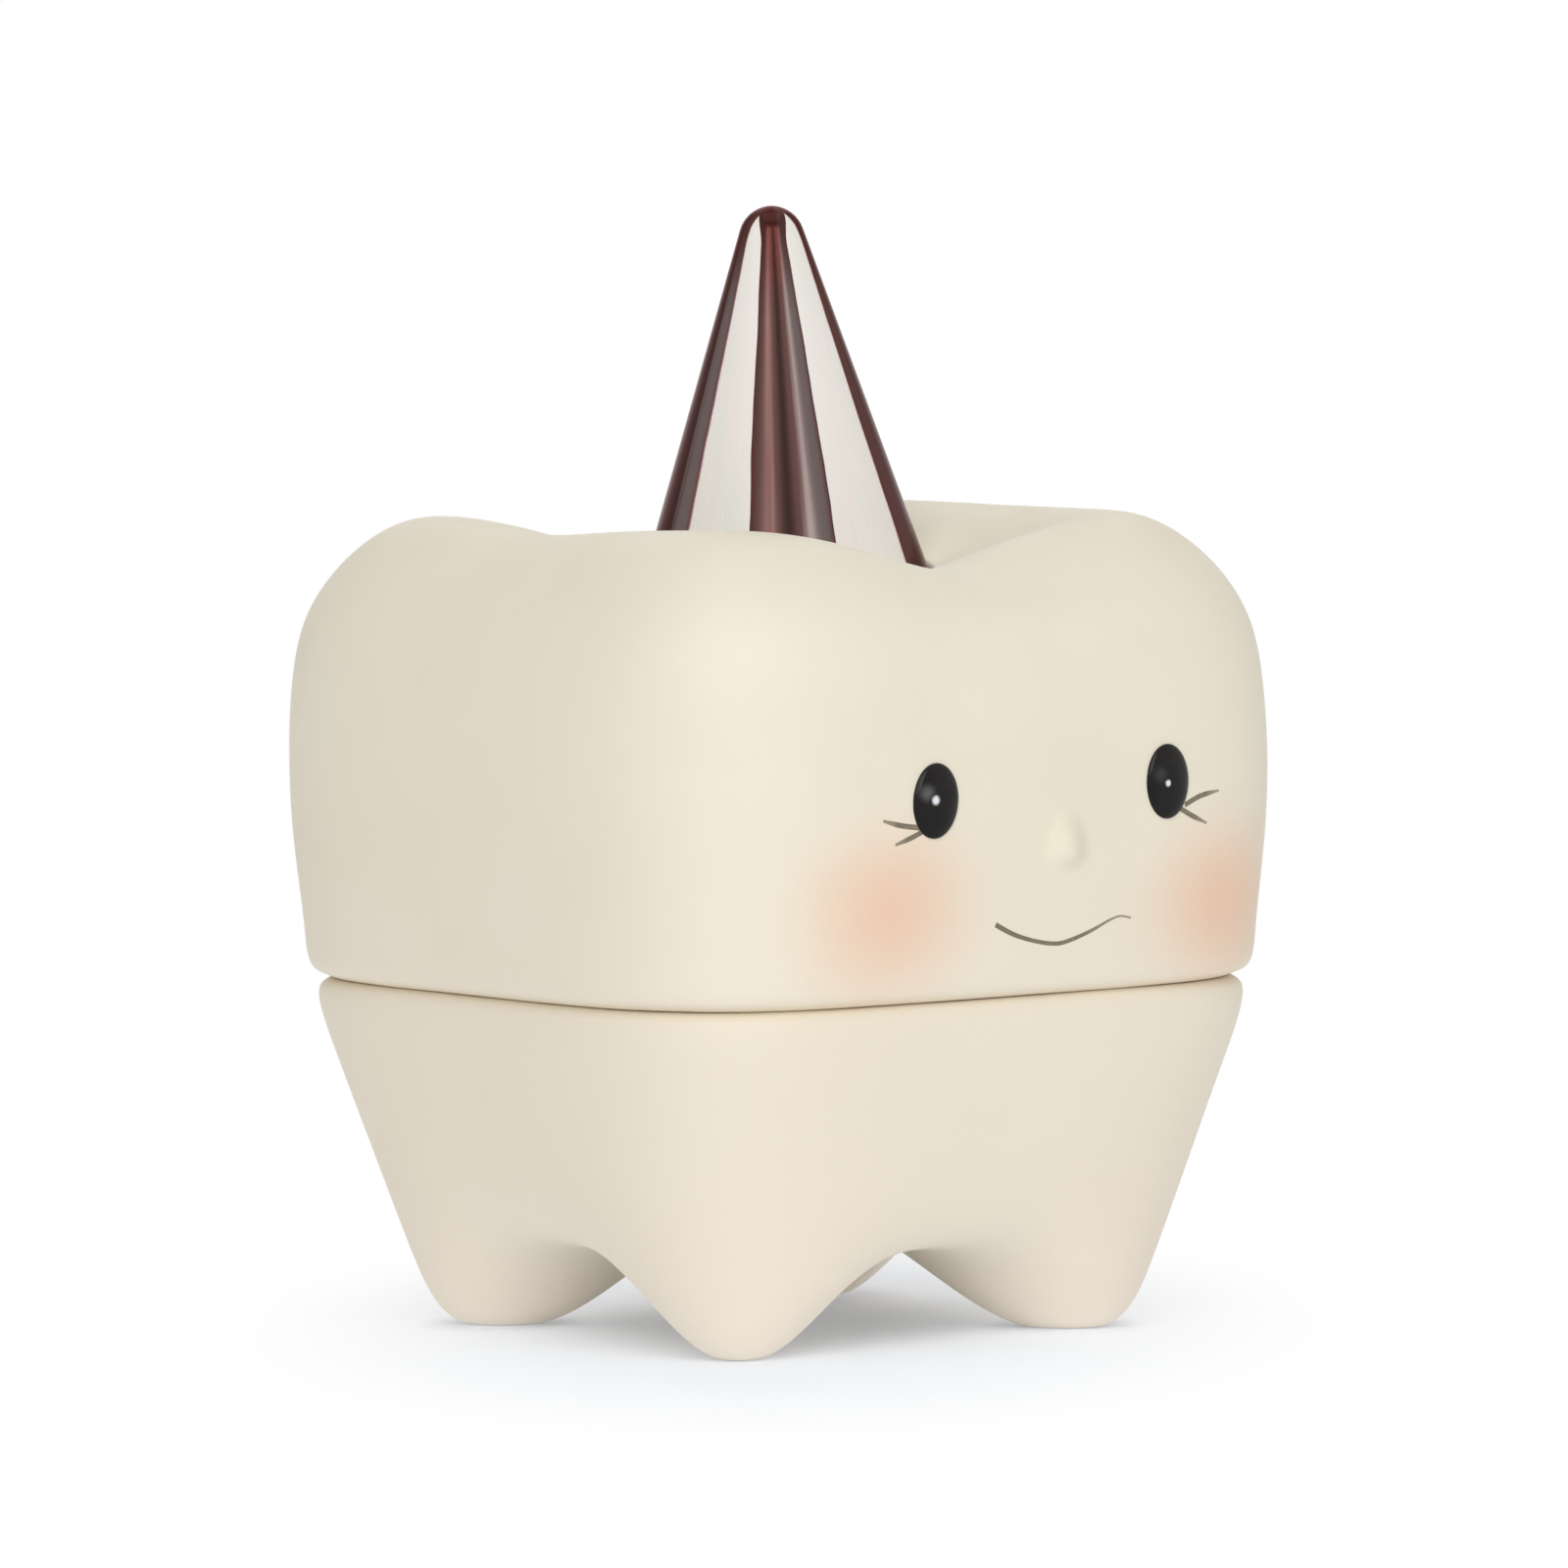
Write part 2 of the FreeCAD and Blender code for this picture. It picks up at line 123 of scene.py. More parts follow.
# How finely the pieces are meshed
COLUMNS = 320
FRONT_DENSITY = 0.55
ARC_STEPS = 8
TIP_STEPS = 24
LONGEST_STEP = 0.0016
LEAST_RADIUS = 0.0001
HAT_COLUMNS = 160
DOME_COLUMNS = 72
DOME_ROWS = 26
DOME_START = 0.04
DOME_BACK = 0.5
STRIP_VERTICES = {"Vertices X": 19, "Vertices Y": 90, "Vertices Z": 2}
LINE_VERTICES = 12
# Stretches of even rows from the middle of a skin, 1, to the seam, 0: start, end and count
CROWN_ROWS = ((1, 0.36, 95), (0.355, 0.22, 42), (0.215, 0, 34))
BASE_ROWS = ((1, 0.62, 52), (0.613, 0.1, 92), (0.094, 0, 18))

# Brush lines of the face, in millimetres across from the middle and above the table
SMILE = (
    (-2.75, 34.8),
    (-0.7, 33.85),
    (1.6, 33.2),
    (3.5, 32.95),
    (5.0, 33.2),
    (6.9, 33.8),
    (8.6, 34.5),
    (9.75, 34.8),
    (10.9, 34.6),
)
LEFT_LASHES = (
    ((-10.6, 42.95), (-12.4, 43.2), (-14.15, 43.65)),
    ((-9.95, 42.8), (-11.4, 42.2), (-12.95, 41.7)),
)
RIGHT_LASHES = (
    ((16.2, 43.4), (18.0, 44.05), (20.1, 44.35)),
    ((15.3, 43.35), (17.0, 42.5), (18.7, 41.8)),
)
# Lines to paint: name, strokes, the setting for their width, and the width's shares at start and end
LINES = (
    ("smile", (SMILE,), "line", 1.2, 0.5),
    ("lashes_left", LEFT_LASHES, "lash", 1.0, 0.6),
    ("lashes_right", RIGHT_LASHES, "lash", 1.0, 0.5),
)

# Marks that each finish has in a metre
SLIP_MARKS = 55
BLOOM_MARKS = 260
GRAIN_MARKS = 2600
BLUSH_DRIFTS = 120
BLUSH_SPECKS = 2200
EYE_PATCHES = 500
GLINT_DABS = 3000
BRUSH_HAIRS = 2400
# How deep or far such marks go, in metres
GRAIN_DEPTH = 0.00003
DRIFT_REACH = 0.0008
SPECK_REACH = 0.0005
# Streaks on the hat: how many round it, how many in a metre of its height, and a seed
ROSE_STREAKS = (9, 40, 1)
GREEN_STREAKS = (7, 55, 2)
LUSTRE_STREAKS = (14, 30, 3)
# Spans of the noise between 0 and 1 in which marks go from none to full
DIP_SPAN = (0.3, 0.7)
SLIP_SPAN = (0.35, 0.7)
BLOOM_SPAN = (0.25, 0.75)
PATCH_SPAN = (0.45, 0.8)
HAIR_SPAN = (0.2, 0.7)
ROSE_SPAN = (0.5, 0.75)
GREEN_SPAN = (0.52, 0.78)
BRUSH_SPAN = (0.2, 0.8)
GLOSS_SPAN = (0.3, 0.7)
# Roughness of each finish over its span
CERAMIC_ROUGHNESS = (0.48, 0.62)
EYE_ROUGHNESS = (0.14, 0.24)
PEARL_ROUGHNESS = (0.2, 0.34)
LUSTRE_ROUGHNESS = (0.16, 0.22)
# Greatest share of a colour that is laid over another
PATCH_AMOUNT = 0.6
GREEN_AMOUNT = 0.8
TIP_AMOUNT = 0.8
EDGE_AMOUNT = 0.85
# A brush line: where the brush is pressed and lifted, how its hairs part, and where its paint shows
PRESSED_BY = 0.3
LIFTED_FROM = 0.55
HAIR_STRENGTH = (0.75, 1.05)
PAINT_SPAN = (0.35, 0.95)
# A lustre stripe: tints across it, from -1 to 1, whose rosy and grey sides are painted reflections of the
# lamps, sway of their borders, and its redder end up the hat
ROSY_REFLECTION = (-0.3, -0.65)
GREY_REFLECTION = (0.2, 0.55)
THIN_EDGE = (0.84, 1.0)
BORDER_SWAY = 0.2
RED_FROM = 0.7
RED_TO = 0.95
# A stripe: waves along its edges, their fineness, overlap at the tip, least radius in thicknesses of paint
STRAY_WAVES = 3
STRAY_SCALE = 1.7
STRIPE_OVERLAP = 1.02
STRIPE_LEAST = 0.6
SEEDS = {"crown": 1.0, "base": 2.0, "hat_stripes": 4.0}

# Lamps: degrees right of the camera, degrees over the level, width and height in metres
LAMPS = (
    ("left_lamp", -11, 30, 0.2, 0.5),
    ("right_lamp", 20, 30, 0.2, 0.5),
    ("top_lamp", 0, 88, 0.5, 0.5),
    ("back_lamp", 180, 45, 0.5, 0.5),
)
LAMP_DISTANCE = 0.75
WHITE = (1, 1, 1, 1)
# Half width of the floor in distances of the camera
FLOOR_REACH = 4


# Settings
def length(name, description, millimetres):
    """A length that the user gives in scene units; its default is written in millimetres."""
    return FloatProperty(
        name=name, description=description, default=millimetres / 1000, unit="LENGTH", precision=5
    )


def angle(name, description, degrees):
    """An angle whose default is written in degrees."""
    return FloatProperty(
        name=name, description=description, default=math.radians(degrees), subtype="ANGLE"
    )


def number(name, description, value, subtype="UNSIGNED"):
    """A plain number, with the subtype that Blender shows it by."""
    return FloatProperty(name=name, description=description, default=value, precision=3, subtype=subtype)


def share(name, description, value):
    """A share or a strength, with 1 for the whole."""
    return number(name, description, value, "FACTOR")


def place(name, description, across, height):
    """A place on the front, across from the middle and above the table, in millimetres."""
    return FloatVectorProperty(
        name=name, description=description, size=2, default=(across / 1000, height / 1000), unit="LENGTH"
    )


def colour(name, description, *levels):
    """A colour whose default is written as it shows on a screen, red, green and blue from 0 to 255."""
    light = [linear(level) for level in levels]
    return FloatVectorProperty(
        name=name, description=description, subtype="COLOR", size=4, min=0, max=1, default=(*light, 1)
    )


def linear(level):
    """Light that a screen level from 0 to 255 stands for."""
    value = level / 255
    return value / 12.92 if value <= 0.04045 else ((value + 0.055) / 1.055) ** 2.4


class ToothBody(bpy.types.PropertyGroup):
    """Sizes of the crown and the base."""

    width: length("Width", "Width of the plan that the rings are shares of", 67.1)
    depth: length("Depth", "Depth of the plan that the rings are shares of", 68.1)
    squareness: number("Squareness", "Exponent of the superellipse in plan", 4.8)
    belly: length("Belly", "Height of the belly between the roots", 10)
    crown: length("Crown", "Height of the crown above the seam", 37.6)
    basin: length("Basin", "Depth of the basin between the cusps", 5.5)
    groove_front: length("Front groove", "Drop of the crown's edge at the front", 5.4)
    groove_left: length("Left groove", "Drop of the crown's edge at the left", 1.2)
    groove_back: length("Back groove", "Drop of the crown's edge at the back", 5.2)
    groove_right: length("Right groove", "Drop of the crown's edge at the right", 0.1)
    lip: length("Lip", "Width of the lid's flat lip round its mouth", 2.2)
    mouth_corner: length("Mouth corner", "Corner radius of the lid's mouth", 16)
    mouth_edge: length("Mouth edge", "Rounding of the mouth's edge", 0.6)
    roof: length("Roof", "Thickness of the lid's roof under the basin", 5.5)
    roof_round: length("Roof rounding", "Rounding inside the lid", 8)
    rim_gap: length("Rim gap", "Clearance between the rim and the lid's mouth", 0.4)
    rim: length("Rim", "Thickness of the upstanding rim", 2.2)
    rim_round: length("Rim rounding", "Rounding of the rim's top edges", 0.7)
    well_floor: length("Well floor", "Thickness of the floor over the belly", 3.5)
    well_draft: angle("Well draft", "Slope of the well's wall", 17)
    well_round: length("Well rounding", "Rounding at the foot of the well's wall", 6)
    seam_gap: length("Seam gap", "How far each half draws back from the seam at its outer edge", 0.25)
    seam_ease: length("Seam ease", "How far from the seam that reaches", 0.85)
    foot_edge: length("Foot edge", "Rounding where a root is ground flat", 0.22)
    unevenness: length("Unevenness", "How far the hand-finished surface dips", 0.06)
    dips: number("Dips", "Dips of the hand-finished surface in a metre", 70)


class ToothFace(bpy.types.PropertyGroup):
    """Sizes and places of the face."""

    nose: place("Nose", "Tip of the nose", 3.95, 40.3)
    nose_width: length("Nose width", "Half width of the nose at its tip", 2.55)
    nose_above: length("Nose above", "How far the nose runs up from its tip", 4.0)
    nose_below: length("Nose below", "How far the nose runs down from its tip", 1.9)
    nose_proud: length("Nose proud", "How far the tip stands out", 0.95)
    nose_taper: share("Nose taper", "Share of its width that the nose loses at its top", 0.2)
    left_eye: place("Left eye", "Middle of the left eye", -9.1, 45.0)
    right_eye: place("Right eye", "Middle of the right eye", 14.3, 45.4)
    eye_width: length("Eye width", "Width of an eye", 4.4)
    eye_height: length("Eye height", "Height of an eye", 6.0)
    eye_proud: length("Eye proud", "How far an eye's dome stands out", 0.6)
    eye_tilt: angle("Eye tilt", "Lean of the left eye's top towards the nose", 4)
    glint: length("Glint", "Diameter of the bright dot on the left eye", 1.0)
    glint_small: length("Small glint", "Diameter of the bright dot on the right eye", 0.72)
    glint_left: place("Left glint", "Left eye's dot, from the eye's middle", -0.45, 0.1)
    glint_right: place("Right glint", "Right eye's dot, from the eye's middle", -0.43, -0.1)
    # Painted sheen on each eye: a paler spot in the glaze that stands in for a reflection; its place, and its
    # share in each eye
    sheen_spot: place("Cloud", "Clouded spot in an eye's glaze, from the eye's middle", -1.2, 0.6)
    sheen_left: share("Left cloud", "Share of the cloud's colour in the left eye", 0.5)
    sheen_right: share("Right cloud", "Share of the cloud's colour in the right eye", 0.15)
    line: length("Line", "Width of the smile's brush line", 0.35)
    lash: length("Lash", "Width of a lash", 0.43)
    line_rise: share("Line rise", "Share of its roundness that a brush line keeps when it lies down", 0.2)
    blush_left: place("Left blush", "Middle of the left cheek's blush", -13.3, 36.4)
    blush_right: place("Right blush", "Middle of the right cheek's blush", 21.0, 35.5)
    blush: length("Blush", "Reach of a cheek's blush upwards", 9.8)
    blush_oval: number("Blush oval", "How much further a cheek's blush reaches across", 1.18)
    blush_amount: share("Blush amount", "Share of the blush's colour at a cheek's middle", 0.68)


class PartyHat(bpy.types.PropertyGroup):
    """Sizes of the hat and its stripes."""

    height: length("Height", "Height of the cone", 31.19)
    diameter: length("Diameter", "Diameter of the cone's foot", 23.6)
    tip: length("Tip", "Radius of the rounded tip", 2.7)
    collar: length("Collar", "Height of the straight collar at the foot", 0.8)
    peg: length("Peg", "Diameter of the peg", 9)
    peg_length: length("Peg length", "Length of the peg below the foot", 3.2)
    sunk: length("Sunk", "Depth of the foot's seat in the basin", 0.6)
    across: length("Across", "How far the hat stands right of the middle", 1.2)
    lean: angle("Lean", "How far the hat leans to the left", 2)
    stripes: IntProperty(
        name="Stripes", description="How many lustre stripes go round", default=5, subtype="UNSIGNED"
    )
    stripe_turn: angle("Stripe turn", "Direction of the first stripe's middle, from the front", -32.5)
    stripe_width: angle("Stripe width", "Angle that a stripe takes of the turn at the foot", 38.5)
    stripe_gain: angle("Stripe gain", "How much more of the turn a stripe takes near the tip", 4)
    spread_from: share("Spread from", "Share of the side's length where stripes begin to spread", 0.86)
    joined_from: share("Joined from", "Share of the side's length where stripes have met", 0.945)
    sway: angle("Sway", "How far every other stripe stands from its even place", 4)
    wobble: angle("Wobble", "How far a stripe's edge strays", 1.6)
    paint: length("Paint", "Thickness of the lustre paint", 0.05)
    # Reach of the painted shade round the hat's foot, where it meets the basin
    foot_shade: length("Stain", "Reach of the stain round the hat's foot", 0.7)


class ToothFinish(bpy.types.PropertyGroup):
    """Colours of the ceramic and the paints."""

    cream: colour("Cream", "Matte ceramic", 239, 232, 214)
    cream_low: colour("Lower cream", "Matte ceramic at the feet", 242, 229, 211)
    low_from: length("Low from", "Height below which the ceramic begins to turn to the lower cream", 48)
    cream_deep: colour("Deep cream", "Where the ceramic's slip lies thicker", 236, 228, 208)
    blush: colour("Blush", "Cheeks", 241, 192, 162)
    eye: colour("Eye", "Glazed eye", 17, 15, 14)
    eye_edge: colour("Eye edge", "Patches in an eye, where the glaze runs thin", 38, 32, 29)
    # Colour of the painted sheen on an eye
    eye_sheen: colour("Eye cloud", "Clouded spot in an eye's glaze", 128, 126, 127)
    glint: colour("Glint", "Dot on an eye", 232, 236, 244)
    line: colour("Line", "Brush lines where the paint is full", 118, 109, 91)
    line_faint: colour("Faint line", "Brush lines where the paint runs out", 172, 161, 138)
    # Each stripe's rosy left and greyer right, around its darker middle, are painted reflections of the lamps
    # over the lustre's own colour
    lustre: colour("Lustre", "Rosy side of the hat's stripes", 84, 61, 58)
    lustre_dark: colour("Dark lustre", "Middle of the hat's stripes", 52, 36, 34)
    lustre_grey_reflection: colour("Grey lustre", "Greyer side of the hat's stripes", 104, 92, 90)
    lustre_tip: colour("Tip lustre", "Redder end of the hat's stripes", 66, 31, 27)
    lustre_edge: colour("Lustre edge", "Thin edge of a stripe", 94, 52, 50)
    lustre_sheen: colour("Lustre sheen", "Tint of the lustre's sheen where it is seen aslant", 200, 178, 176)
    # Colour of the painted shade round the hat's foot
    foot_shade: colour("Stain", "Stain at the hat's foot", 118, 98, 86)
    pearl: colour("Pearl", "Pale glaze of the hat", 236, 232, 226)
    pearl_rose: colour("Rose pearl", "Rose streaks in the pale glaze", 242, 226, 222)
    pearl_green: colour("Green pearl", "Green streaks in the pale glaze", 226, 232, 222)


class ToothStage(bpy.types.PropertyGroup):
    """Camera, light and floor."""

    azimuth: angle("Azimuth", "Camera's direction, from the front to the right", -36.34)
    elevation: angle("Elevation", "Camera's height over the level", 4.46)
    roll: angle("Roll", "Turn of the camera about its own axis", 0.7)
    distance: length("Distance", "Camera's distance from its target", 1000)
    target: length("Target", "Height of the camera's target", 33)
    target_pixel: FloatVectorProperty(
        name="Target pixel",
        description="Pixel of the photograph that the target shows at",
        size=2,
        default=(793.9, 941.4),
        subtype="COORDINATES",
    )
    focal_pixels: number("Focal pixels", "Focal length in pixels of the photograph", 12500, "PIXEL")
    world: share("World", "Strength of the light from all round", 0.36)
    world_tint: colour("World tint", "Colour of the light from all round", 255, 252, 247)
    left_lamp: number("Left lamp", "Power of the lamp left of the camera", 1.37, "POWER")
    right_lamp: number("Right lamp", "Power of the lamp right of the camera", 1.22, "POWER")
    top_lamp: number("Top lamp", "Power of the lamp over the object", 0.6, "POWER")
    back_lamp: number("Back lamp", "Power of the lamp behind the object", 0.6, "POWER")
    floor: colour("Floor", "Floor near the object, where the shadow falls", 237, 243, 252)
    glow: share("Floor glow", "Light that the floor near the object adds to its colour", 0.18)
    bounce: share("Floor bounce", "Light that the floor round the object throws up", 0.3)
    bounce_from: length("Bounce from", "How far from the middle the floor begins to throw light up", 13)
    bounce_to: length("Bounce to", "How far from the middle it throws all of it", 25)
    far_bounce: share("Far bounce", "Light that the white floor throws up", 0.9)
    shadow_from: length("Shadow from", "Where the floor begins to fade to white, across the view", 5)
    shadow_to: length("Shadow to", "Where the floor is all white, across the view", 50)
    foot: length("Foot", "How far a root stands from the middle, each way", 16.4)
    contact_from: length("Contact from", "Where a root's contact shadow begins to fade", 3.5)
    contact_to: length("Contact to", "Where a root's contact shadow has faded", 8)
    shadow_depth: number("Shadow depth", "How much further the shadow reaches along the view", 1.7)


class ToothBox(bpy.types.PropertyGroup):
    """All settings of the tooth box."""

    body: PointerProperty(type=ToothBody)
    face: PointerProperty(type=ToothFace)
    hat: PointerProperty(type=PartyHat)
    finish: PointerProperty(type=ToothFinish)
    stage: PointerProperty(type=ToothStage)


# Splines and rings of the ceramic
def spline_weights(knots, places):
    """Weight of each pole of a cubic spline, in one row for each place."""
    knots = np.asarray(knots, float)
    places = np.asarray(places, float)[:, None]
    inside = np.minimum(places, knots[-1] - 1e-9)
    weights = ((knots[:-1] <= inside) & (inside < knots[1:])).astype(float)
    for degree in range(1, SPLINE_DEGREE + 1):
        count = len(knots) - degree - 1
        rise = np.maximum(knots[degree : degree + count] - knots[:count], 1e-12)
        fall = np.maximum(knots[degree + 1 :] - knots[1 : count + 1], 1e-12)
        weights = (
            weights[:, :count] * (inside - knots[:count]) / rise
            + weights[:, 1 : count + 1] * (knots[degree + 1 :] - inside) / fall
        )
    return weights


def column_angles():
    """Polar angle of each column of the mesh, closer together at the front."""
    turn = np.linspace(-math.pi, math.pi, COLUMNS, endpoint=False)
    return turn - FRONT_DENSITY * np.sin(turn) - math.pi / 2


def around_weights():
    """Weights of the poles round the plan at each column; the spline closes on itself."""
    knots = np.arange(-SPLINE_DEGREE, POLES_AROUND + SPLINE_DEGREE + 1)
    places = (column_angles() / math.tau * POLES_AROUND - 1) % POLES_AROUND
    weights = spline_weights(knots, places)
    weights[:, :SPLINE_DEGREE] += weights[:, POLES_AROUND:]
    return weights[:, :POLES_AROUND]


def sculpted_skin(body, rings_at, stretches):
    """Rows of points on the smooth skin whose rings_at gives radius shares and heights at the poles."""
    turn = np.arange(POLES_AROUND) * math.tau / POLES_AROUND
    across, along = np.cos(turn), np.sin(turn)
    power = body.squareness
    reach = (np.abs(across) ** power + np.abs(along) ** power) ** (-1 / power)
    radii, heights = rings_at(body, turn)
    right = radii * (reach * across)[:, None] * body.width / 2
    back = radii * (reach * along)[:, None] * body.depth / 2
    poles = np.stack((right, back, heights), axis=-1)
    spans = poles.shape[1] - SPLINE_DEGREE
    knots = [0] * SPLINE_DEGREE + list(range(spans + 1)) + [spans] * SPLINE_DEGREE
    rows = np.concatenate([np.linspace(*stretch) for stretch in stretches])
    up = spline_weights(knots, rows * spans)
    return np.einsum("ci,rj,ijk->rck", around_weights(), up, poles)


def eased_seam(body, skin, way):
    """Skin that draws back from the seam near its outer edge, upwards for way 1 and downwards for -1."""
    away = np.abs(skin[..., 2] - SEAM)
    out = np.hypot(skin[..., 0], skin[..., 1])
    out = np.clip((out - out[-1]) / body.seam_ease, 0, 1)
    eased = skin.copy()
    eased[..., 2] += way * body.seam_gap * out * np.exp(-away / body.seam_ease)
    return eased


def corner_share(turn):
    """1 on the four diagonals of the plan, 0 at the middles of its sides."""
    return np.abs(np.sin(2 * turn))


def crown_rings(body, turn):
    """Radius shares and heights of the crown's poles."""
    depths = np.array([body.groove_right, body.groove_back, body.groove_left, body.groove_front])
    side = np.round(turn / (math.pi / 2)).astype(int) % len(depths)
    groove = depths[side] * (1 - corner_share(turn) ** CUSP_EXPONENT)
    radius, crown, basin, drop = np.array(CROWN_RING_SHARES).T
    heights = SEAM + crown * body.crown - basin * body.basin - drop * groove[:, None]
    return np.broadcast_to(radius, heights.shape), heights


def root_rings(body, turn):
    """Radius shares and heights of the base's poles, blended between root and arch."""
    root = corner_share(turn)[:, None, None] ** ROOT_EXPONENT
    shares = root * np.array(ROOT_RING_SHARES) + (1 - root) * np.array(ARCH_RING_SHARES)
    return shares[..., 0], shares[..., 1] * SEAM + shares[..., 2] * body.belly


def rounded_rectangle(half_width, half_depth, corner):
    """Points of a rounded rectangle, one on each column's ray from the middle."""
    across, along = np.cos(column_angles()), np.sin(column_angles())
    to_side = half_width / np.maximum(np.abs(across), 1e-9)
    to_end = half_depth / np.maximum(np.abs(along), 1e-9)
    straight = np.minimum(to_side, to_end)
    middle = np.array([half_width - corner, half_depth - corner])
    towards = np.abs(across) * middle[0] + np.abs(along) * middle[1]
    bow = towards**2 - middle @ middle + corner**2
    bent = towards + np.sqrt(np.maximum(bow, 0))
    at_corner = (np.abs(across) * straight > middle[0]) & (np.abs(along) * straight > middle[1])
    reach = np.where(at_corner, bent, straight)
    return reach * across, reach * along


def mouth_ring(body, inset, height):
    """Ring on the plan of the lid's mouth, drawn in by an inset, at a height."""
    foot = CROWN_RING_SHARES[0][0]
    half_width = body.width / 2 * foot - body.lip - inset
    half_depth = body.depth / 2 * foot - body.lip - inset
    x, y = rounded_rectangle(half_width, half_depth, body.mouth_corner - inset)
    return np.stack((x, y, np.full(COLUMNS, height)), axis=-1)


def softened(*corners):
    """Points along a section whose corners (inset, height, radius) are rounded by arcs."""
    points = [np.array(corners[0][:2])]
    for before, here, after in zip(corners, corners[1:], corners[2:]):
        spot = np.array(here[:2])
        back = np.array(before[:2]) - spot
        ahead = np.array(after[:2]) - spot
        back, ahead = back / np.linalg.norm(back), ahead / np.linalg.norm(ahead)
        half = math.acos(np.clip(back @ ahead, -1, 1)) / 2
        middle = spot + (back + ahead) / np.linalg.norm(back + ahead) * here[2] / math.sin(half)
        start = spot + back * here[2] / math.tan(half) - middle
        end = spot + ahead * here[2] / math.tan(half) - middle
        for step in np.linspace(0, 1, ARC_STEPS + 1):
            ray = (1 - step) * start + step * end
            points.append(middle + ray / np.linalg.norm(ray) * here[2])
    points.append(np.array(corners[-1][:2]))
    return evenly(points)


def evenly(points):
    """The same section with its long straight runs divided."""
    result = [points[0]]
    for start, end in zip(points, points[1:]):
        count = max(1, math.ceil(np.linalg.norm(end - start) / LONGEST_STEP))
        for step in range(1, count + 1):
            result.append(start + (end - start) * step / count)
    return result


def closing_rings(ring):
    """Rings from a level ring in towards its middle, which the mesh closes with a point."""
    middle = np.array([0, 0, ring[:, 2].mean()])
    count = math.ceil(np.abs(ring[:, 0]).max() / LONGEST_STEP / 2)
    return [middle + (ring - middle) * (1 - step / count) for step in range(1, count)]


def shell_mesh(name, body, skin, section, inside_out=False):
    """Closed mesh of a skin and the hollow that a section of the lid's mouth gives it."""
    hollow = [mouth_ring(body, inset, height) for inset, height in section]
    rings = closing_rings(skin[0])[::-1] + list(skin) + hollow + closing_rings(hollow[-1])
    return mesh_of_rings(name, rings, inside_out)


def mesh_of_rings(name, rings, inside_out=False):
    """Closed mesh through rings of equal count, with a point at each end."""
    rings = np.asarray(rings)
    count, columns = rings.shape[:2]
    ends = rings[[0, -1]].mean(axis=1)
    points = np.concatenate((rings.reshape(-1, 3), ends))
    here = np.arange(columns)
    beside = np.roll(here, -1)
    faces = []
    for row in range(count - 1):
        low, high = row * columns, (row + 1) * columns
        faces += np.stack((low + here, high + here, high + beside, low + beside), axis=-1).tolist()
    first, last = count * columns, count * columns + 1
    end = (count - 1) * columns
    faces += [(first, int(a), int(b)) for a, b in zip(here, beside)]
    faces += [(last, int(end + b), int(end + a)) for a, b in zip(here, beside)]
    if inside_out:
        faces = [face[::-1] for face in faces]
    mesh = bpy.data.meshes.new(name)
    mesh.from_pydata(points.tolist(), [], faces)
    mesh.validate()
    return mesh


# Objects
def new_object(name, data):
    """Object of that name and data, in the scene."""
    item = bpy.data.objects.new(name, data)
    bpy.context.scene.collection.objects.link(item)
    return item


def smooth_object(name, mesh, material):
    """Object of a mesh with smooth faces and one material."""
    mesh.polygons.foreach_set("use_smooth", [True] * len(mesh.polygons))
    mesh.materials.append(material)
    return new_object(name, mesh)


def drawn_object(name, lines):
    """Object of straight runs through each line's points."""
    curve = bpy.data.curves.new(name, "CURVE")
    curve.dimensions = "3D"
    for line in lines:
        spline = curve.splines.new("POLY")
        spline.points.add(len(line) - 1)
        for point, spot in zip(spline.points, line):
            point.co = (*spot, 1)
    return new_object(name, curve)


def hand_over(piece, body, slot, *nodes):
    """The piece rides on its body and stands for its nodes, which it hides; the slot is not used."""
    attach(piece, body)
    if nodes:
        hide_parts(*nodes)


# Node trees
class Wire:
    """An output in a node tree; what is done with it adds nodes to that tree."""

    def __init__(self, tree, socket):
        self.tree = tree
        self.socket = socket

    def __getitem__(self, output):
        """Another output of the same node, by name or number."""
        return Wire(self.tree, self.socket.node.outputs[output])

    def __add__(self, other):
        return self.math("ADD", other)

    def __sub__(self, other):
        return self.math("SUBTRACT", other)

    def __mul__(self, other):
        return self.math("MULTIPLY", other)

    def math(self, operation, other=0.0, clamp=False):
        """Result of a math node."""
        values = {0: self, 1: other}
        return add(self.tree, "ShaderNodeMath", values, operation=operation, use_clamp=clamp)

    def vector(self, operation, other=(0, 0, 0)):
        """Result of a vector math node."""
        return add(self.tree, "ShaderNodeVectorMath", {0: self, 1: other}, operation=operation)

    def scaled(self, amount):
        """Vector times an amount."""
        return add(self.tree, "ShaderNodeVectorMath", {0: self, "Scale": amount}, operation="SCALE")

    def away_from(self, spot=(0, 0, 0)):
        """Distance from a spot."""
        return self.vector("DISTANCE", spot)["Value"]

    def parts(self):
        """The vector's three coordinates."""
        node = add(self.tree, "ShaderNodeSeparateXYZ", {0: self})
        return node[0], node[1], node[2]

    def remap(self, low, high, new_low=0.0, new_high=1.0, smooth=False):
        """Value moved from one range to another and kept inside it."""
        kind = "SMOOTHSTEP" if smooth else "LINEAR"
        values = {0: self, 1: low, 2: high, 3: new_low, 4: new_high}
        return add(self.tree, "ShaderNodeMapRange", values, interpolation_type=kind)

    def noise(self, scale, detail=2, roughness=0.5, seed=0):
        """Noise between 0 and 1 at the vector."""
        values = {"Vector": self, "W": seed, "Scale": scale, "Detail": detail, "Roughness": roughness}
        return add(self.tree, "ShaderNodeTexNoise", values, noise_dimensions="4D")


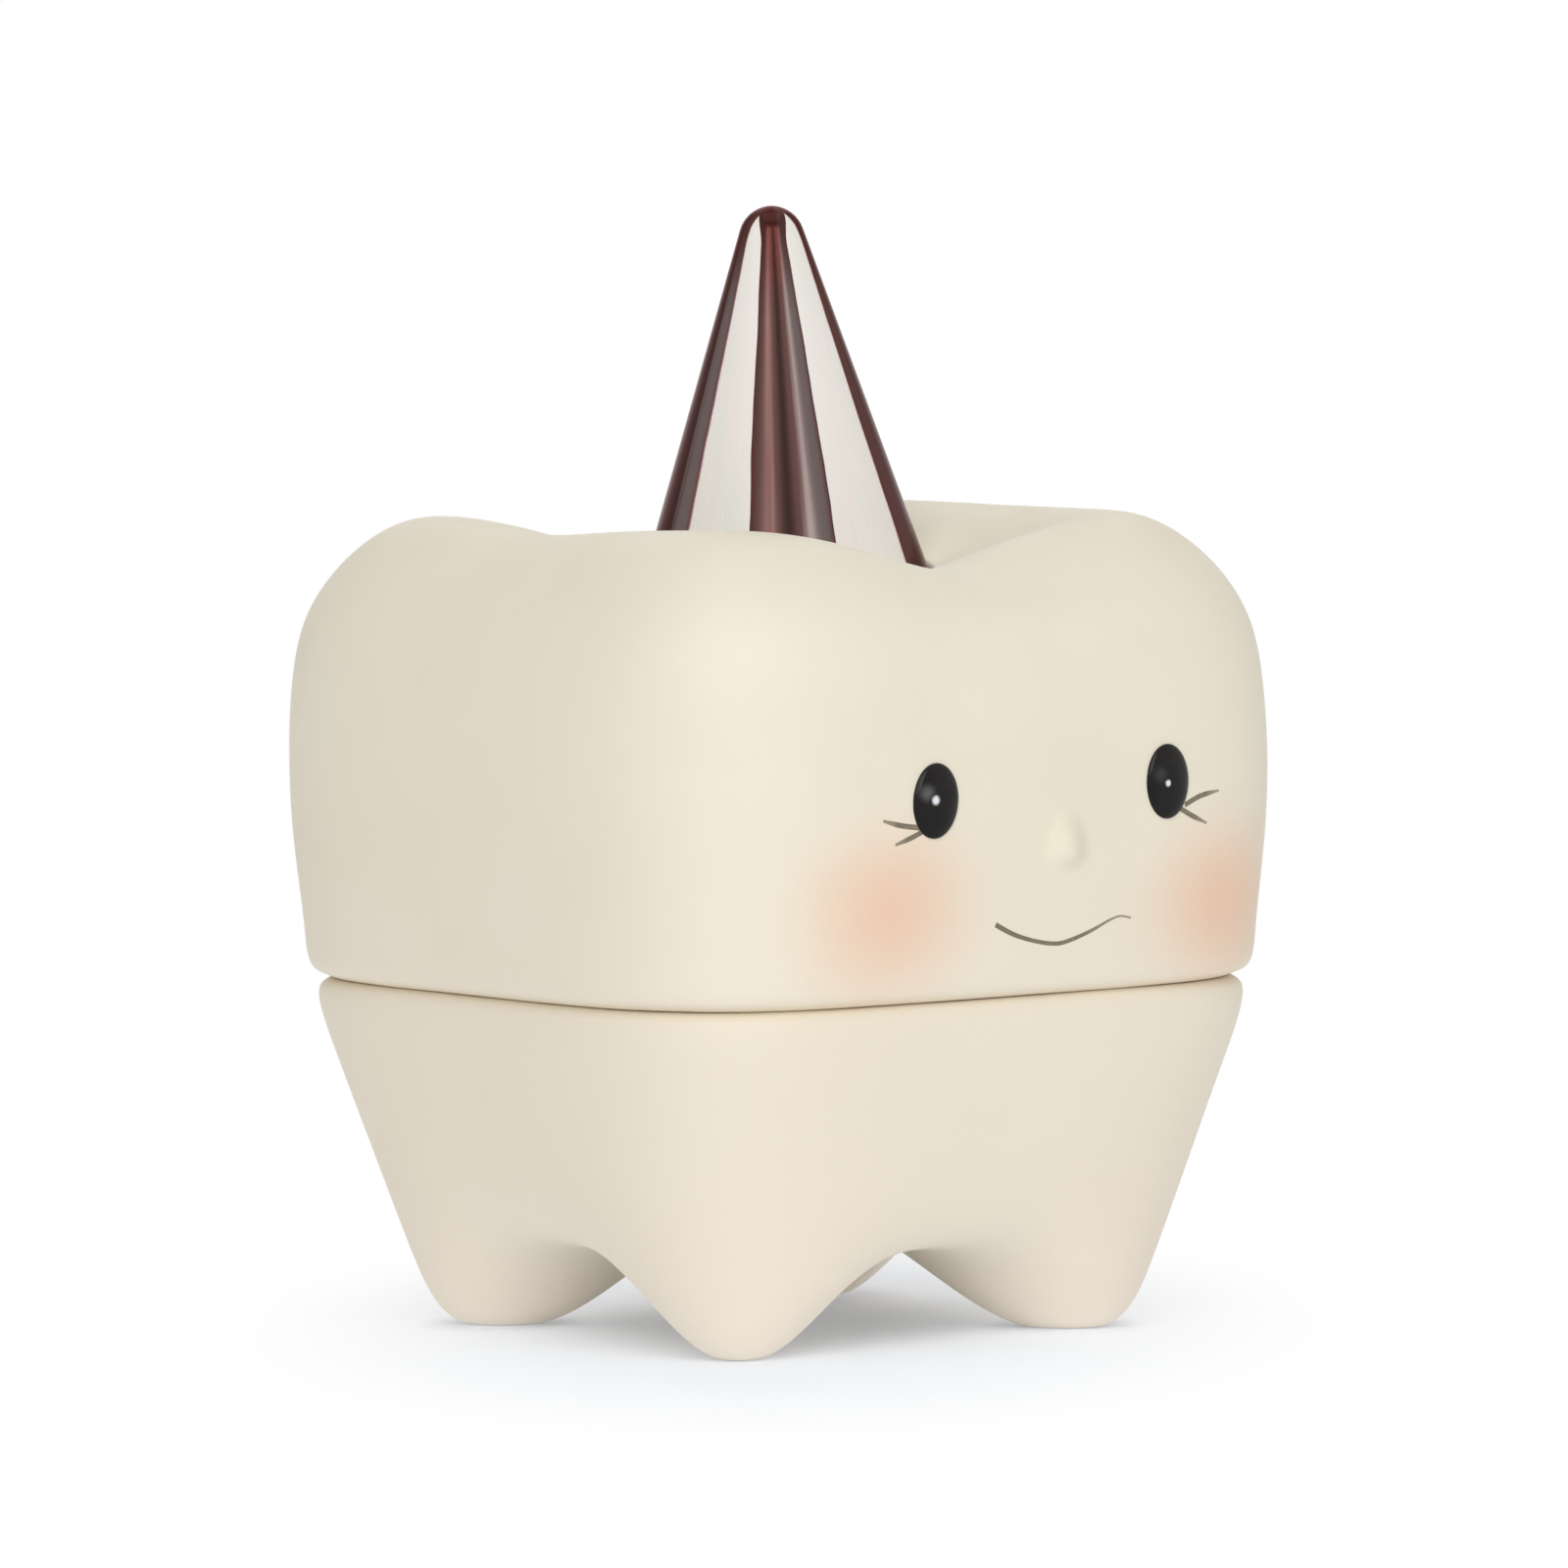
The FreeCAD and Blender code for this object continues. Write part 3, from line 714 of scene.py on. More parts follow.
def feed(node, inputs):
    """Links or sets inputs of a node, by name or number."""
    for name, value in inputs.items():
        if isinstance(value, Wire):
            value.tree.links.new(value.socket, node.inputs[name])
        else:
            node.inputs[name].default_value = value


def add(tree, kind, inputs=None, **settings):
    """Wire from the first output of a new node with these inputs and settings."""
    node = tree.nodes.new(kind)
    for name, value in settings.items():
        setattr(node, name, value)
    feed(node, inputs or {})
    return Wire(tree, node.outputs[0])


def vector_of(x, y=0, z=0):
    """Wire with a vector of three coordinates, the first a wire."""
    return add(x.tree, "ShaderNodeCombineXYZ", {0: x, 1: y, 2: z})


def mixed(factor, first, second):
    """Wire with a colour between two others."""
    return add(factor.tree, "ShaderNodeMix", {0: factor, 6: first, 7: second}, data_type="RGBA")[2]


def stored(geometry, name, value, domain="POINT"):
    """Geometry that keeps a value under a name."""
    inputs = {"Geometry": geometry, "Name": name, "Value": value}
    return add(geometry.tree, "GeometryNodeStoreNamedAttribute", inputs, data_type="FLOAT", domain=domain)


def moved(geometry, **inputs):
    """Geometry with its points moved."""
    return add(geometry.tree, "GeometryNodeSetPosition", {"Geometry": geometry, **inputs})


def geometry_tree(name, floats, **others):
    """New geometry tree with named inputs; gives the wire that its geometry comes in by."""
    tree = bpy.data.node_groups.new(name, "GeometryNodeTree")
    tree.interface.new_socket("Geometry", in_out="OUTPUT", socket_type="NodeSocketGeometry")
    kinds = {"Geometry": "Geometry", **dict.fromkeys(floats, "Float"), **others, "Material": "Material"}
    for label, kind in kinds.items():
        tree.interface.new_socket(label, in_out="INPUT", socket_type="NodeSocket" + kind)
    return add(tree, "NodeGroupInput")


def finish_tree(entry, geometry):
    """Ends a tree with realised, smooth geometry of the material that it is given."""
    tree = entry.tree
    smooth = add(tree, "GeometryNodeSetShadeSmooth", {"Geometry": geometry})
    real = add(tree, "GeometryNodeRealizeInstances", {"Geometry": smooth})
    coat = add(tree, "GeometryNodeSetMaterial", {"Geometry": real, "Material": entry["Material"]})
    feed(tree.nodes.new("NodeGroupOutput"), {0: coat})
    return tree


def grown(name, source, tree, values):
    """New object whose plain mesh is what a tree makes of a source object, which is then removed."""
    modifier = source.modifiers.new(tree.name, "NODES")
    modifier.node_group = tree
    for socket in tree.interface.items_tree:
        if socket.in_out == "INPUT" and socket.name in values:
            modifier[socket.identifier] = values[socket.name]
    source.update_tag()
    graph = bpy.context.evaluated_depsgraph_get()
    mesh = bpy.data.meshes.new_from_object(source.evaluated_get(graph), depsgraph=graph)
    mesh.name = name
    source.modifiers.remove(modifier)
    bpy.data.objects.remove(source)
    return new_object(name, mesh)


def hand_finished_tree():
    """Skin that dips a little here and there, as smoothed by hand, and never stands out further."""
    entry = geometry_tree("hand_finished", ("Dip", "Dips", "Seed"))
    position = add(entry.tree, "GeometryNodeInputPosition")
    normal = add(entry.tree, "GeometryNodeInputNormal")
    dips = position.noise(entry["Dips"], detail=1, seed=entry["Seed"]).remap(*DIP_SPAN, 0.0, -1.0)
    off_the_table = position.parts()[2].remap(0.0, SEAM / 10)
    depth = dips * entry["Dip"] * off_the_table
    return finish_tree(entry, moved(entry, Offset=normal.scaled(depth)))


def brush_line_tree():
    """Raised brush line: a flat curve cast on a surface along Y, with a width that changes along it."""
    floats = ("Width", "Start share", "End share", "Step", "Rise")
    entry = geometry_tree("brush_line", floats, Surface="Object")
    tree = entry.tree
    surface = add(tree, "GeometryNodeObjectInfo", {"Object": entry["Surface"]})["Geometry"]
    curve = add(tree, "GeometryNodeCurveSplineType", {"Curve": entry}, spline_type="CATMULL_ROM")
    steps = {"Curve": curve, "Length": entry["Step"]}
    even = add(tree, "GeometryNodeResampleCurve", steps, mode="LENGTH")
    ray = {"Target Geometry": surface, "Ray Direction": (0, 1, 0), "Ray Length": 1}
    seated = moved(even, Position=add(tree, "GeometryNodeRaycast", ray)["Hit Position"])
    along = add(tree, "GeometryNodeSplineParameter")
    rising = along.remap(0.0, PRESSED_BY, entry["Start share"], 1.0, smooth=True)
    falling = along.remap(LIFTED_FROM, 1.0, 1.0, entry["End share"], smooth=True)
    fullness = rising * falling
    circle = {"Resolution": LINE_VERTICES, "Radius": 1.0}
    sweep = {
        "Curve": stored(seated, "fullness", fullness),
        "Profile Curve": add(tree, "GeometryNodeCurvePrimitiveCircle", circle, mode="RADIUS"),
        "Scale": fullness * (entry["Width"] * 0.5),
        "Fill Caps": True,
    }
    swept = add(tree, "GeometryNodeCurveToMesh", sweep)
    skin = add(tree, "GeometryNodeProximity", {"Geometry": surface}, target_element="FACES")["Position"]
    above = add(tree, "GeometryNodeInputPosition").vector("SUBTRACT", skin)
    return finish_tree(entry, moved(swept, Position=skin, Offset=above.scaled(entry["Rise"])))


def lustre_stripe_tree():
    """Stripes of paint round a turned form: strips that follow its side, each with its own edges."""
    floats = ("Turn", "Width", "Gain", "Spread from", "Joined from", "Sway", "Wobble", "Paint", "Seed")
    entry = geometry_tree("lustre_stripes", floats, Stripes="Int", Foot="Vector", Lean="Vector")
    tree = entry.tree
    strip = add(tree, "GeometryNodeMeshCube", {"Size": (1, 1, 1), **STRIP_VERTICES})
    points = add(tree, "GeometryNodePoints", {"Count": entry["Stripes"]})
    copies = add(tree, "GeometryNodeInstanceOnPoints", {"Points": points, "Instance": strip})
    numbered = stored(copies, "stripe", add(tree, "GeometryNodeInputIndex"), "INSTANCE")
    strips = add(tree, "GeometryNodeRealizeInstances", {"Geometry": numbered})
    stripe = add(tree, "GeometryNodeInputNamedAttribute", {"Name": "stripe"}, data_type="FLOAT")
    across, along, layer = add(tree, "GeometryNodeInputPosition").parts()
    along = along + 0.5

    trail = vector_of(stripe, across.math("SIGN"), along * STRAY_WAVES)
    stray = trail.noise(STRAY_SCALE, seed=entry["Seed"]).remap(0.0, 1.0, -1.0, 1.0)
    edge = across.math("ABSOLUTE") * 2.0 * (stray * entry["Wobble"])
    step = add(tree, "ShaderNodeMath", {0: math.tau, 1: entry["Stripes"]}, operation="DIVIDE")
    joining = along.remap(entry["Spread from"], entry["Joined from"])
    alone = along * entry["Gain"] + entry["Width"]
    width = (joining * joining).remap(0.0, 1.0, alone, step * STRIPE_OVERLAP)
    sway = (stripe * (math.pi / 2)).math("SINE") * entry["Sway"]
    turn = stripe * step + entry["Turn"] + sway + across * width + edge

    run = {"Curves": entry, "Factor": along}
    side = add(tree, "GeometryNodeSampleCurve", run, mode="FACTOR", use_all_curves=True)
    spot, slope = side["Position"].parts(), side["Tangent"].parts()
    lift = layer * 2.0 * entry["Paint"]
    radius = (spot[0] + slope[2] * lift).math("MAXIMUM", entry["Paint"] * STRIPE_LEAST)
    height = spot[2] - slope[0] * lift
    wrapped = vector_of(radius * turn.math("SINE"), radius * (turn.math("COSINE") * -1.0), height)
    stripes = moved(stored(strips, "across", across * 2.0), Position=wrapped)
    seat = {"Geometry": stripes, "Translation": entry["Foot"], "Rotation": entry["Lean"]}
    return finish_tree(entry, add(tree, "GeometryNodeTransform", seat))


# Materials
def new_material(name):
    """New material with its shader and a wire from the object coordinates."""
    material = bpy.data.materials.new(name)
    material.use_nodes = True
    tree = material.node_tree
    return material, tree.nodes["Principled BSDF"], add(tree, "ShaderNodeTexCoord")["Object"]


def matte_ceramic(name, finish, face=None, hat=None):
    """Bisque-like ceramic with a soft bloom, faint slip marks and, with a face, blush and painted shade round
    the hat's foot.
    """
    material, shader, where = new_material(name)
    thick = where.noise(SLIP_MARKS, detail=3).remap(*SLIP_SPAN, smooth=True)
    tint = mixed(thick, finish.cream, finish.cream_deep)
    low = where.parts()[2].remap(finish.low_from, 0.0)
    tint = mixed(low, tint, finish.cream_low)
    if face:
        tint = with_blush(where, tint, face, finish)
        # Painted shade in a thin ring where the hat stands in the basin
        tint = with_painted_foot_shade(where, tint, hat, finish)
    grain = where.noise(GRAIN_MARKS, detail=3, roughness=0.6)
    relief = {"Height": grain, "Distance": GRAIN_DEPTH, "Strength": 0.5}
    values = {
        "Base Color": tint,
        "Roughness": where.noise(BLOOM_MARKS, detail=4).remap(*BLOOM_SPAN, *CERAMIC_ROUGHNESS),
        "Normal": add(where.tree, "ShaderNodeBump", relief),
        "Specular IOR Level": 0.35,
        "Sheen Weight": 0.05,
        "Sheen Roughness": 0.5,
    }
    feed(shader, values)
    return material


def with_painted_foot_shade(where, tint, hat, finish):
    """Tint darkened in a thin ring round the hat's foot: painted shade where the hat meets the basin."""
    x, y, z = hat_coordinates(where, hat).parts()
    edge = hat.diameter / 2
    near = vector_of(x, y).away_from().remap(edge, edge + hat.foot_shade, 1.0, 0.0, smooth=True)
    over = z.remap(-hat.peg_length, -hat.peg_length / 2)
    return mixed(near * over, tint, finish.foot_shade)


def with_blush(where, tint, face, finish):
    """Tint with a soft airbrushed blush round each cheek's middle, on the front only."""
    x, y, z = where.parts()
    drift = where.noise(BLUSH_DRIFTS, detail=3).remap(0.0, 1.0, -DRIFT_REACH, DRIFT_REACH)
    speck = where.noise(BLUSH_SPECKS, detail=1).remap(0.0, 1.0, -SPECK_REACH, SPECK_REACH)
    front = y.remap(0.0, FRONT / 2)
    flat = vector_of(x.math("DIVIDE", face.blush_oval), 0, z)
    for across, height in (face.blush_left, face.blush_right):
        away = flat.away_from((across / face.blush_oval, 0, height)) + drift + speck
        amount = away.remap(face.blush, 0.0, smooth=True) * front * face.blush_amount
        tint = mixed(amount, tint, finish.blush)
    return tint


def eye_glaze(name, finish, reach, sheen_spot, amount):
    """Deep glossy glaze, a little browner where it thins out, with a painted sheen: a paler spot that stands
    in for a reflection.
    """
    material, shader, where = new_material(name)
    patch = where.noise(EYE_PATCHES)
    tint = mixed(patch.remap(*PATCH_SPAN, 0.0, PATCH_AMOUNT), finish.eye, finish.eye_edge)
    # Painted sheen: paler towards the spot, in place of a reflection
    sheen_amount = where.away_from(sheen_spot).remap(reach, 0.0, 0.0, amount, smooth=True)
    tint = mixed(sheen_amount, tint, finish.eye_sheen)
    gloss = patch.remap(*GLOSS_SPAN, *EYE_ROUGHNESS)
    feed(shader, {"Base Color": tint, "Roughness": gloss, "Specular IOR Level": 0.2})
    return material


def glint_paint(name, finish, size, middle):
    """Bright dot that thins out towards its rim, so that the dark glaze shows through."""
    material, shader, where = new_material(name)
    stray = size * GLINT_STRAY
    dab = where.noise(GLINT_DABS, detail=1).remap(0.0, 1.0, -stray, stray)
    thin = (where.away_from(middle) + dab).remap(size * GLINT_FULL, size / 2, smooth=True)
    tint = mixed(thin, finish.glint, finish.eye)
    feed(shader, {"Base Color": tint, "Roughness": 0.3, "Specular IOR Level": 0.2})
    return material


def line_paint(finish):
    """Brush line that is darker where the brush was full."""
    material, shader, where = new_material("line_paint")
    fullness = add(where.tree, "ShaderNodeAttribute", attribute_name="fullness")["Fac"]
    hair = where.noise(BRUSH_HAIRS).remap(*HAIR_SPAN, *HAIR_STRENGTH)
    amount = fullness.math("MULTIPLY", hair, clamp=True).remap(*PAINT_SPAN)
    feed(shader, {"Base Color": mixed(amount, finish.line_faint, finish.line), "Roughness": 0.55})
    return material


def hat_coordinates(where, hat):
    """Object coordinates turned to the hat's own axis, with its foot at the origin."""
    from_foot = where.vector("SUBTRACT", hat_foot(hat))
    return add(where.tree, "ShaderNodeMapping", {"Vector": from_foot, "Rotation": (0, hat.lean, 0)})


def streaks(spot, around, up, seed):
    """Noise drawn out along the hat's side: fast round the axis, slow up it."""
    x, y, z = spot.parts()
    turn = x.math("ARCTAN2", y)
    ring = vector_of(turn.math("SINE") * around, turn.math("COSINE") * around, z * up)
    return ring.noise(1, detail=3, seed=seed)


def pearl_glaze(hat, finish):
    """Pale pearl glaze with faint rose and green streaks up the cone."""
    material, shader, where = new_material("pearl_glaze")
    spot = hat_coordinates(where, hat)
    rose = streaks(spot, *ROSE_STREAKS)
    green = streaks(spot, *GREEN_STREAKS)
    tint = mixed(rose.remap(*ROSE_SPAN), finish.pearl, finish.pearl_rose)
    tint = mixed(green.remap(*GREEN_SPAN, 0.0, GREEN_AMOUNT), tint, finish.pearl_green)
    feed(shader, {"Base Color": tint, "Roughness": rose.remap(*GLOSS_SPAN, *PEARL_ROUGHNESS)})
    feed(shader, {"Metallic": 0.1, "Coat Weight": 0.5, "Coat Roughness": 0.12})
    return material


def copper_lustre(hat, finish):
    """Dark copper lustre, brushed up the cone, with painted reflections of the lamps over its own colour:
    rosy to the left of a stripe, greyer to its right, around a darker middle; red at its edges and at the
    tip."""
    material, shader, where = new_material("copper_lustre")
    spot = hat_coordinates(where, hat)
    brush = streaks(spot, *LUSTRE_STREAKS)
    across = add(where.tree, "ShaderNodeAttribute", attribute_name="across")["Fac"]
    swayed = across + brush.remap(*BRUSH_SPAN, -BORDER_SWAY, BORDER_SWAY)
    # Painted reflections of the lamps: rosy to the left of each stripe, lighter grey to its right, around a
    # darker middle
    tint = mixed(swayed.remap(*ROSY_REFLECTION, smooth=True), finish.lustre_dark, finish.lustre)
    tint = mixed(swayed.remap(*GREY_REFLECTION, smooth=True), tint, finish.lustre_grey_reflection)
    height = spot.parts()[2]
    ending = height.remap(RED_FROM * hat.height, RED_TO * hat.height, 0.0, TIP_AMOUNT, smooth=True)
    tint = mixed(ending, tint, finish.lustre_tip)
    edge = across.math("ABSOLUTE").remap(*THIN_EDGE, 0.0, EDGE_AMOUNT)
    tint = mixed(edge, tint, finish.lustre_edge)
    feed(shader, {"Base Color": tint, "Roughness": brush.remap(*GLOSS_SPAN, *LUSTRE_ROUGHNESS)})
    feed(shader, {"Metallic": 0.8, "Specular IOR Level": 0.2, "Specular Tint": finish.lustre_sheen})
    return material


# Pieces
def crown_mesh(body, face):
    """Crown lid: basin, cusps, bulging walls with the nose, lip and hollow."""
    skin = sculpted_skin(body, crown_rings, CROWN_ROWS)
    skin = raise_nose(eased_seam(body, skin, 1), face)
    roof = SEAM + body.crown - body.basin - body.roof
    section = softened(
        (-body.lip / 2, SEAM, 0),
        (0, SEAM, body.mouth_edge),
        (0, roof, body.roof_round),
        (body.mouth_corner * ROOF_INSET, roof, 0),
    )
    return shell_mesh("raw_crown", body, skin, section)


def raise_nose(skin, face):
    """Skin with a small nose drawn out of its front: long and faint above the tip, short below."""
    across = skin[..., 0] - face.nose[0]
    rise = skin[..., 2] - face.nose[1]
    reach = np.where(rise > 0, face.nose_above, face.nose_below)
    narrowing = 1 - face.nose_taper * np.clip(rise / face.nose_above, 0, 1)
    away = np.minimum(np.hypot(across / (face.nose_width * narrowing), rise / reach), 1)
    bump = face.nose_proud * (1 - away) ** 2 * (1 + 2 * away)
    bump[skin[..., 1] > 0] = 0
    raised = skin.copy()
    raised[..., 1] -= bump
    return raised


def base_mesh(body):
    """Root base: belly, roots and arches, lip, locating rim and well."""
    skin = sculpted_skin(body, root_rings, BASE_ROWS)
    height = skin[..., 2]
    skin[..., 2] = (height + np.sqrt(height**2 + body.foot_edge**2)) / 2
    skin[..., 2] -= skin[..., 2].min()
    skin = eased_seam(body, skin, -1)
    floor = body.belly + body.well_floor
    inner = body.rim_gap + body.rim
    foot = inner + math.tan(body.well_draft) * (RIM_TOP - floor)
    section = softened(
        (-body.lip / 3, SEAM, 0),
        (body.rim_gap, SEAM, body.rim_gap / 2),
        (body.rim_gap, RIM_TOP, body.rim_round),
        (inner, RIM_TOP, body.rim_round),
        (foot, floor, body.well_round),
        (body.mouth_corner * FLOOR_INSET, floor, 0),
    )
    return shell_mesh("raw_base", body, skin, section, inside_out=True)


def ceramic_piece(name, mesh, body, material):
    """Object of a mesh with the hand-finished surface of the ceramic."""
    tree = bpy.data.node_groups.get("hand_finished") or hand_finished_tree()
    values = {"Dip": body.unevenness, "Dips": body.dips, "Seed": SEEDS[name], "Material": material}
    return grown(name, new_object(mesh.name, mesh), tree, values)


def hat_foot(hat):
    """Middle of the hat's foot in the object's frame."""
    body = bpy.context.scene.tooth_box.body
    return Vector((hat.across, 0, SEAM + body.crown - body.basin - hat.sunk))


def hat_side(hat):
    """Section of the cone from the collar's top to the tip: the rounded tip is tangent to the side."""
    foot, top = hat.diameter / 2, hat.height - hat.tip
    run = top - hat.collar
    slope = math.atan2(foot, run) - math.asin(hat.tip / math.hypot(foot, run))
    bends = np.linspace(slope, math.pi / 2, TIP_STEPS)
    tip = [np.array((hat.tip * math.cos(bend), top + hat.tip * math.sin(bend))) for bend in bends]
    return evenly([np.array((foot, hat.collar))] + tip)


def under_paint(hat, section):
    """A section of the hat drawn in by the paint's thickness."""
    return [(radius - hat.paint, height - hat.paint * height / hat.height) for radius, height in section]


def hat_mesh(hat):
    """Peg, foot and cone of the hat, leaning where it stands."""
    columns = np.linspace(0, math.tau, HAT_COLUMNS, endpoint=False)
    peg, foot = hat.peg / 2, hat.diameter / 2
    low = softened(
        (peg / 2, -hat.peg_length, 0),
        (peg, -hat.peg_length, hat.paint * PEG_EDGE),
        (peg, 0, hat.paint * PEG_ROOT),
        (foot, 0, hat.paint * FOOT_EDGE),
        (foot, hat.collar, 0),
    )
    rings = []
    for radius, height in under_paint(hat, low + hat_side(hat)[1:-1]):
        reach = max(radius, LEAST_RADIUS)
        level = np.full(HAT_COLUMNS, height)
        rings.append(np.stack((reach * np.cos(columns), reach * np.sin(columns), level), axis=-1))
    mesh = mesh_of_rings("hat", rings, inside_out=True)
    mesh.transform(Matrix.Translation(hat_foot(hat)) @ Matrix.Rotation(-hat.lean, 4, "Y"))
    return mesh


def seat_on(target, across, height, tilt=0.0):
    """Place on a piece's front: local X to the right, local Y up the skin, local Z out of it."""
    tree = BVHTree.FromObject(target, bpy.context.evaluated_depsgraph_get())
    start = Vector((across, 2 * FRONT, height))
    spot, normal = tree.ray_cast(start, Vector((0, 1, 0)))[:2]
    if spot is None:
        raise RuntimeError("nothing to sit on at %.4f, %.4f" % (across, height))
    right = Vector((0, 0, 1)).cross(normal).normalized()
    up = normal.cross(right)
    axes = Matrix((right, up, normal)).transposed().to_4x4()
    return Matrix.Translation(spot) @ axes @ Matrix.Rotation(-tilt, 4, "Z")


def dome_mesh(name, seat, width, height, proud, sunk):
    """Oval dome on a seat, with a rounded brink and a flat back sunk under the skin."""
    columns = np.linspace(0, math.tau, DOME_COLUMNS, endpoint=False)
    oval = np.stack((width / 2 * np.cos(columns), height / 2 * np.sin(columns)), axis=-1)
    bends = np.linspace(DOME_START, 1, DOME_ROWS) * math.pi / 2
    levels = [(math.sin(bend), proud * math.cos(bend)) for bend in bends]
    levels += [(1.0, -sunk / 2), (1.0, -sunk), (DOME_BACK, -sunk)]
    rings = [np.column_stack((oval * out, np.full(DOME_COLUMNS, level))) for out, level in levels]
    mesh = mesh_of_rings(name, rings)
    mesh.transform(seat)
    return mesh


# Operators
class TOOTHBOX_OT_crown(bpy.types.Operator):
    """Makes the crown lid with its cusps, its nose and its hollow"""

    bl_idname = "tooth_box.crown"
    bl_label = "Crown Lid"

    def execute(self, context):
        box = context.scene.tooth_box
        paint = matte_ceramic("blushed_ceramic", box.finish, box.face, box.hat)
        crown = ceramic_piece("crown", crown_mesh(box.body, box.face), box.body, paint)
        hand_over(crown, "lid", "matte_ceramic", "crown_lid")
        return {"FINISHED"}


class TOOTHBOX_OT_base(bpy.types.Operator):
    """Makes the base with its roots, its rim and its well"""

    bl_idname = "tooth_box.base"
    bl_label = "Root Base"

    def execute(self, context):
        box = context.scene.tooth_box
        paint = matte_ceramic("plain_ceramic", box.finish)
        base = ceramic_piece("base", base_mesh(box.body), box.body, paint)
        hand_over(base, "base", "matte_ceramic", "root_base")
        return {"FINISHED"}


class TOOTHBOX_OT_hat(bpy.types.Operator):
    """Makes the party hat and the lustre stripes on it"""

    bl_idname = "tooth_box.hat"
    bl_label = "Party Hat"

    def execute(self, context):
        box = context.scene.tooth_box
        hat = box.hat
        cone = smooth_object("hat", hat_mesh(hat), pearl_glaze(hat, box.finish))
        hand_over(cone, "lid", "lustre_glaze", "party_hat")
        side = [(radius, 0, height) for radius, height in under_paint(hat, hat_side(hat))]
        values = {
            "Stripes": hat.stripes,
            "Turn": hat.stripe_turn,
            "Width": hat.stripe_width,
            "Gain": hat.stripe_gain,
            "Spread from": hat.spread_from,
            "Joined from": hat.joined_from,
            "Sway": hat.sway,
            "Wobble": hat.wobble,
            "Paint": hat.paint,
            "Seed": SEEDS["hat_stripes"],
            "Foot": hat_foot(hat),
            "Lean": (0, -hat.lean, 0),
            "Material": copper_lustre(hat, box.finish),
        }
        stripes = grown("hat_stripes", drawn_object("hat_side", [side]), lustre_stripe_tree(), values)
        hand_over(stripes, "lid", "lustre_glaze")
        return {"FINISHED"}


class TOOTHBOX_OT_eyes(bpy.types.Operator):
    """Makes the two domed eyes and the bright dot on each"""

    bl_idname = "tooth_box.eyes"
    bl_label = "Eyes"

    def execute(self, context):
        box = context.scene.tooth_box
        face = box.face
        proud = face.eye_proud
        crown = bpy.data.objects["crown"]
        eyes = (
            ("left", face.left_eye, face.eye_tilt, face.glint_left, face.glint, face.sheen_left),
            ("right", face.right_eye, 0, face.glint_right, face.glint_small, face.sheen_right),
        )
        for side, spot, tilt, dot, size, sheen_amount in eyes:
            seat = seat_on(crown, *spot, tilt)
            # Middle of the eye's painted sheen, on its dome
            sheen_spot = seat @ Vector((*face.sheen_spot, proud))
            glaze = eye_glaze("eye_glaze_" + side, box.finish, face.glint, sheen_spot, sheen_amount)
            dome = dome_mesh(side + "_eye_dome", seat, face.eye_width, face.eye_height, proud, proud)
            eye = smooth_object("eye_" + side, dome, glaze)
            hand_over(eye, "lid", "eye_glaze", side + "_eye")
            perch = seat_on(eye, spot[0] + dot[0], spot[1] + dot[1])
            paint = glint_paint("glint_" + side, box.finish, size, perch.translation)
            dome = dome_mesh(side + "_glint", perch, size, size, size * GLINT_PROUD, size * GLINT_SUNK)
            glint = smooth_object("glint_" + side, dome, paint)
            hand_over(glint, "lid", "eye_glaze")
        return {"FINISHED"}


class TOOTHBOX_OT_lines(bpy.types.Operator):
    """Paints the smile and the lashes on the crown's front"""

    bl_idname = "tooth_box.lines"
    bl_label = "Smile and Lashes"

    def execute(self, context):
        box = context.scene.tooth_box
        paint = line_paint(box.finish)
        tree = brush_line_tree()
        for name, strokes, setting, start, end in LINES:
            width = getattr(box.face, setting)
            values = {
                "Surface": bpy.data.objects["crown"],
                "Width": width,
                "Start share": start,
                "End share": end,
                "Step": width / 2,
                "Rise": box.face.line_rise,
                "Material": paint,
            }
            drawn = [[(x / 1000, 2 * FRONT, z / 1000) for x, z in stroke] for stroke in strokes]
            piece = grown(name, drawn_object("raw_" + name, drawn), tree, values)
            hand_over(piece, "lid", "eye_glaze")
        return {"FINISHED"}


class TOOTHBOX_OT_stage(bpy.types.Operator):
    """Sets the floor, the lamps, the backdrop and the camera"""

    bl_idname = "tooth_box.stage"
    bl_label = "Stage"

    def execute(self, context):
        stage = context.scene.tooth_box.stage
        make_floor(stage)
        light_stage(stage)
        aim_camera(stage)
        context.scene.view_settings.view_transform = "Standard"
        return {"FINISHED"}


# Stage
def seen_directly(tree):
    """1 where a ray comes from the camera, a reflection or glass, so that they see the backdrop."""
    path = add(tree, "ShaderNodeLightPath")
    seen = path["Is Camera Ray"].math("MAXIMUM", path["Is Glossy Ray"])
    return seen.math("MAXIMUM", path["Is Transmission Ray"])


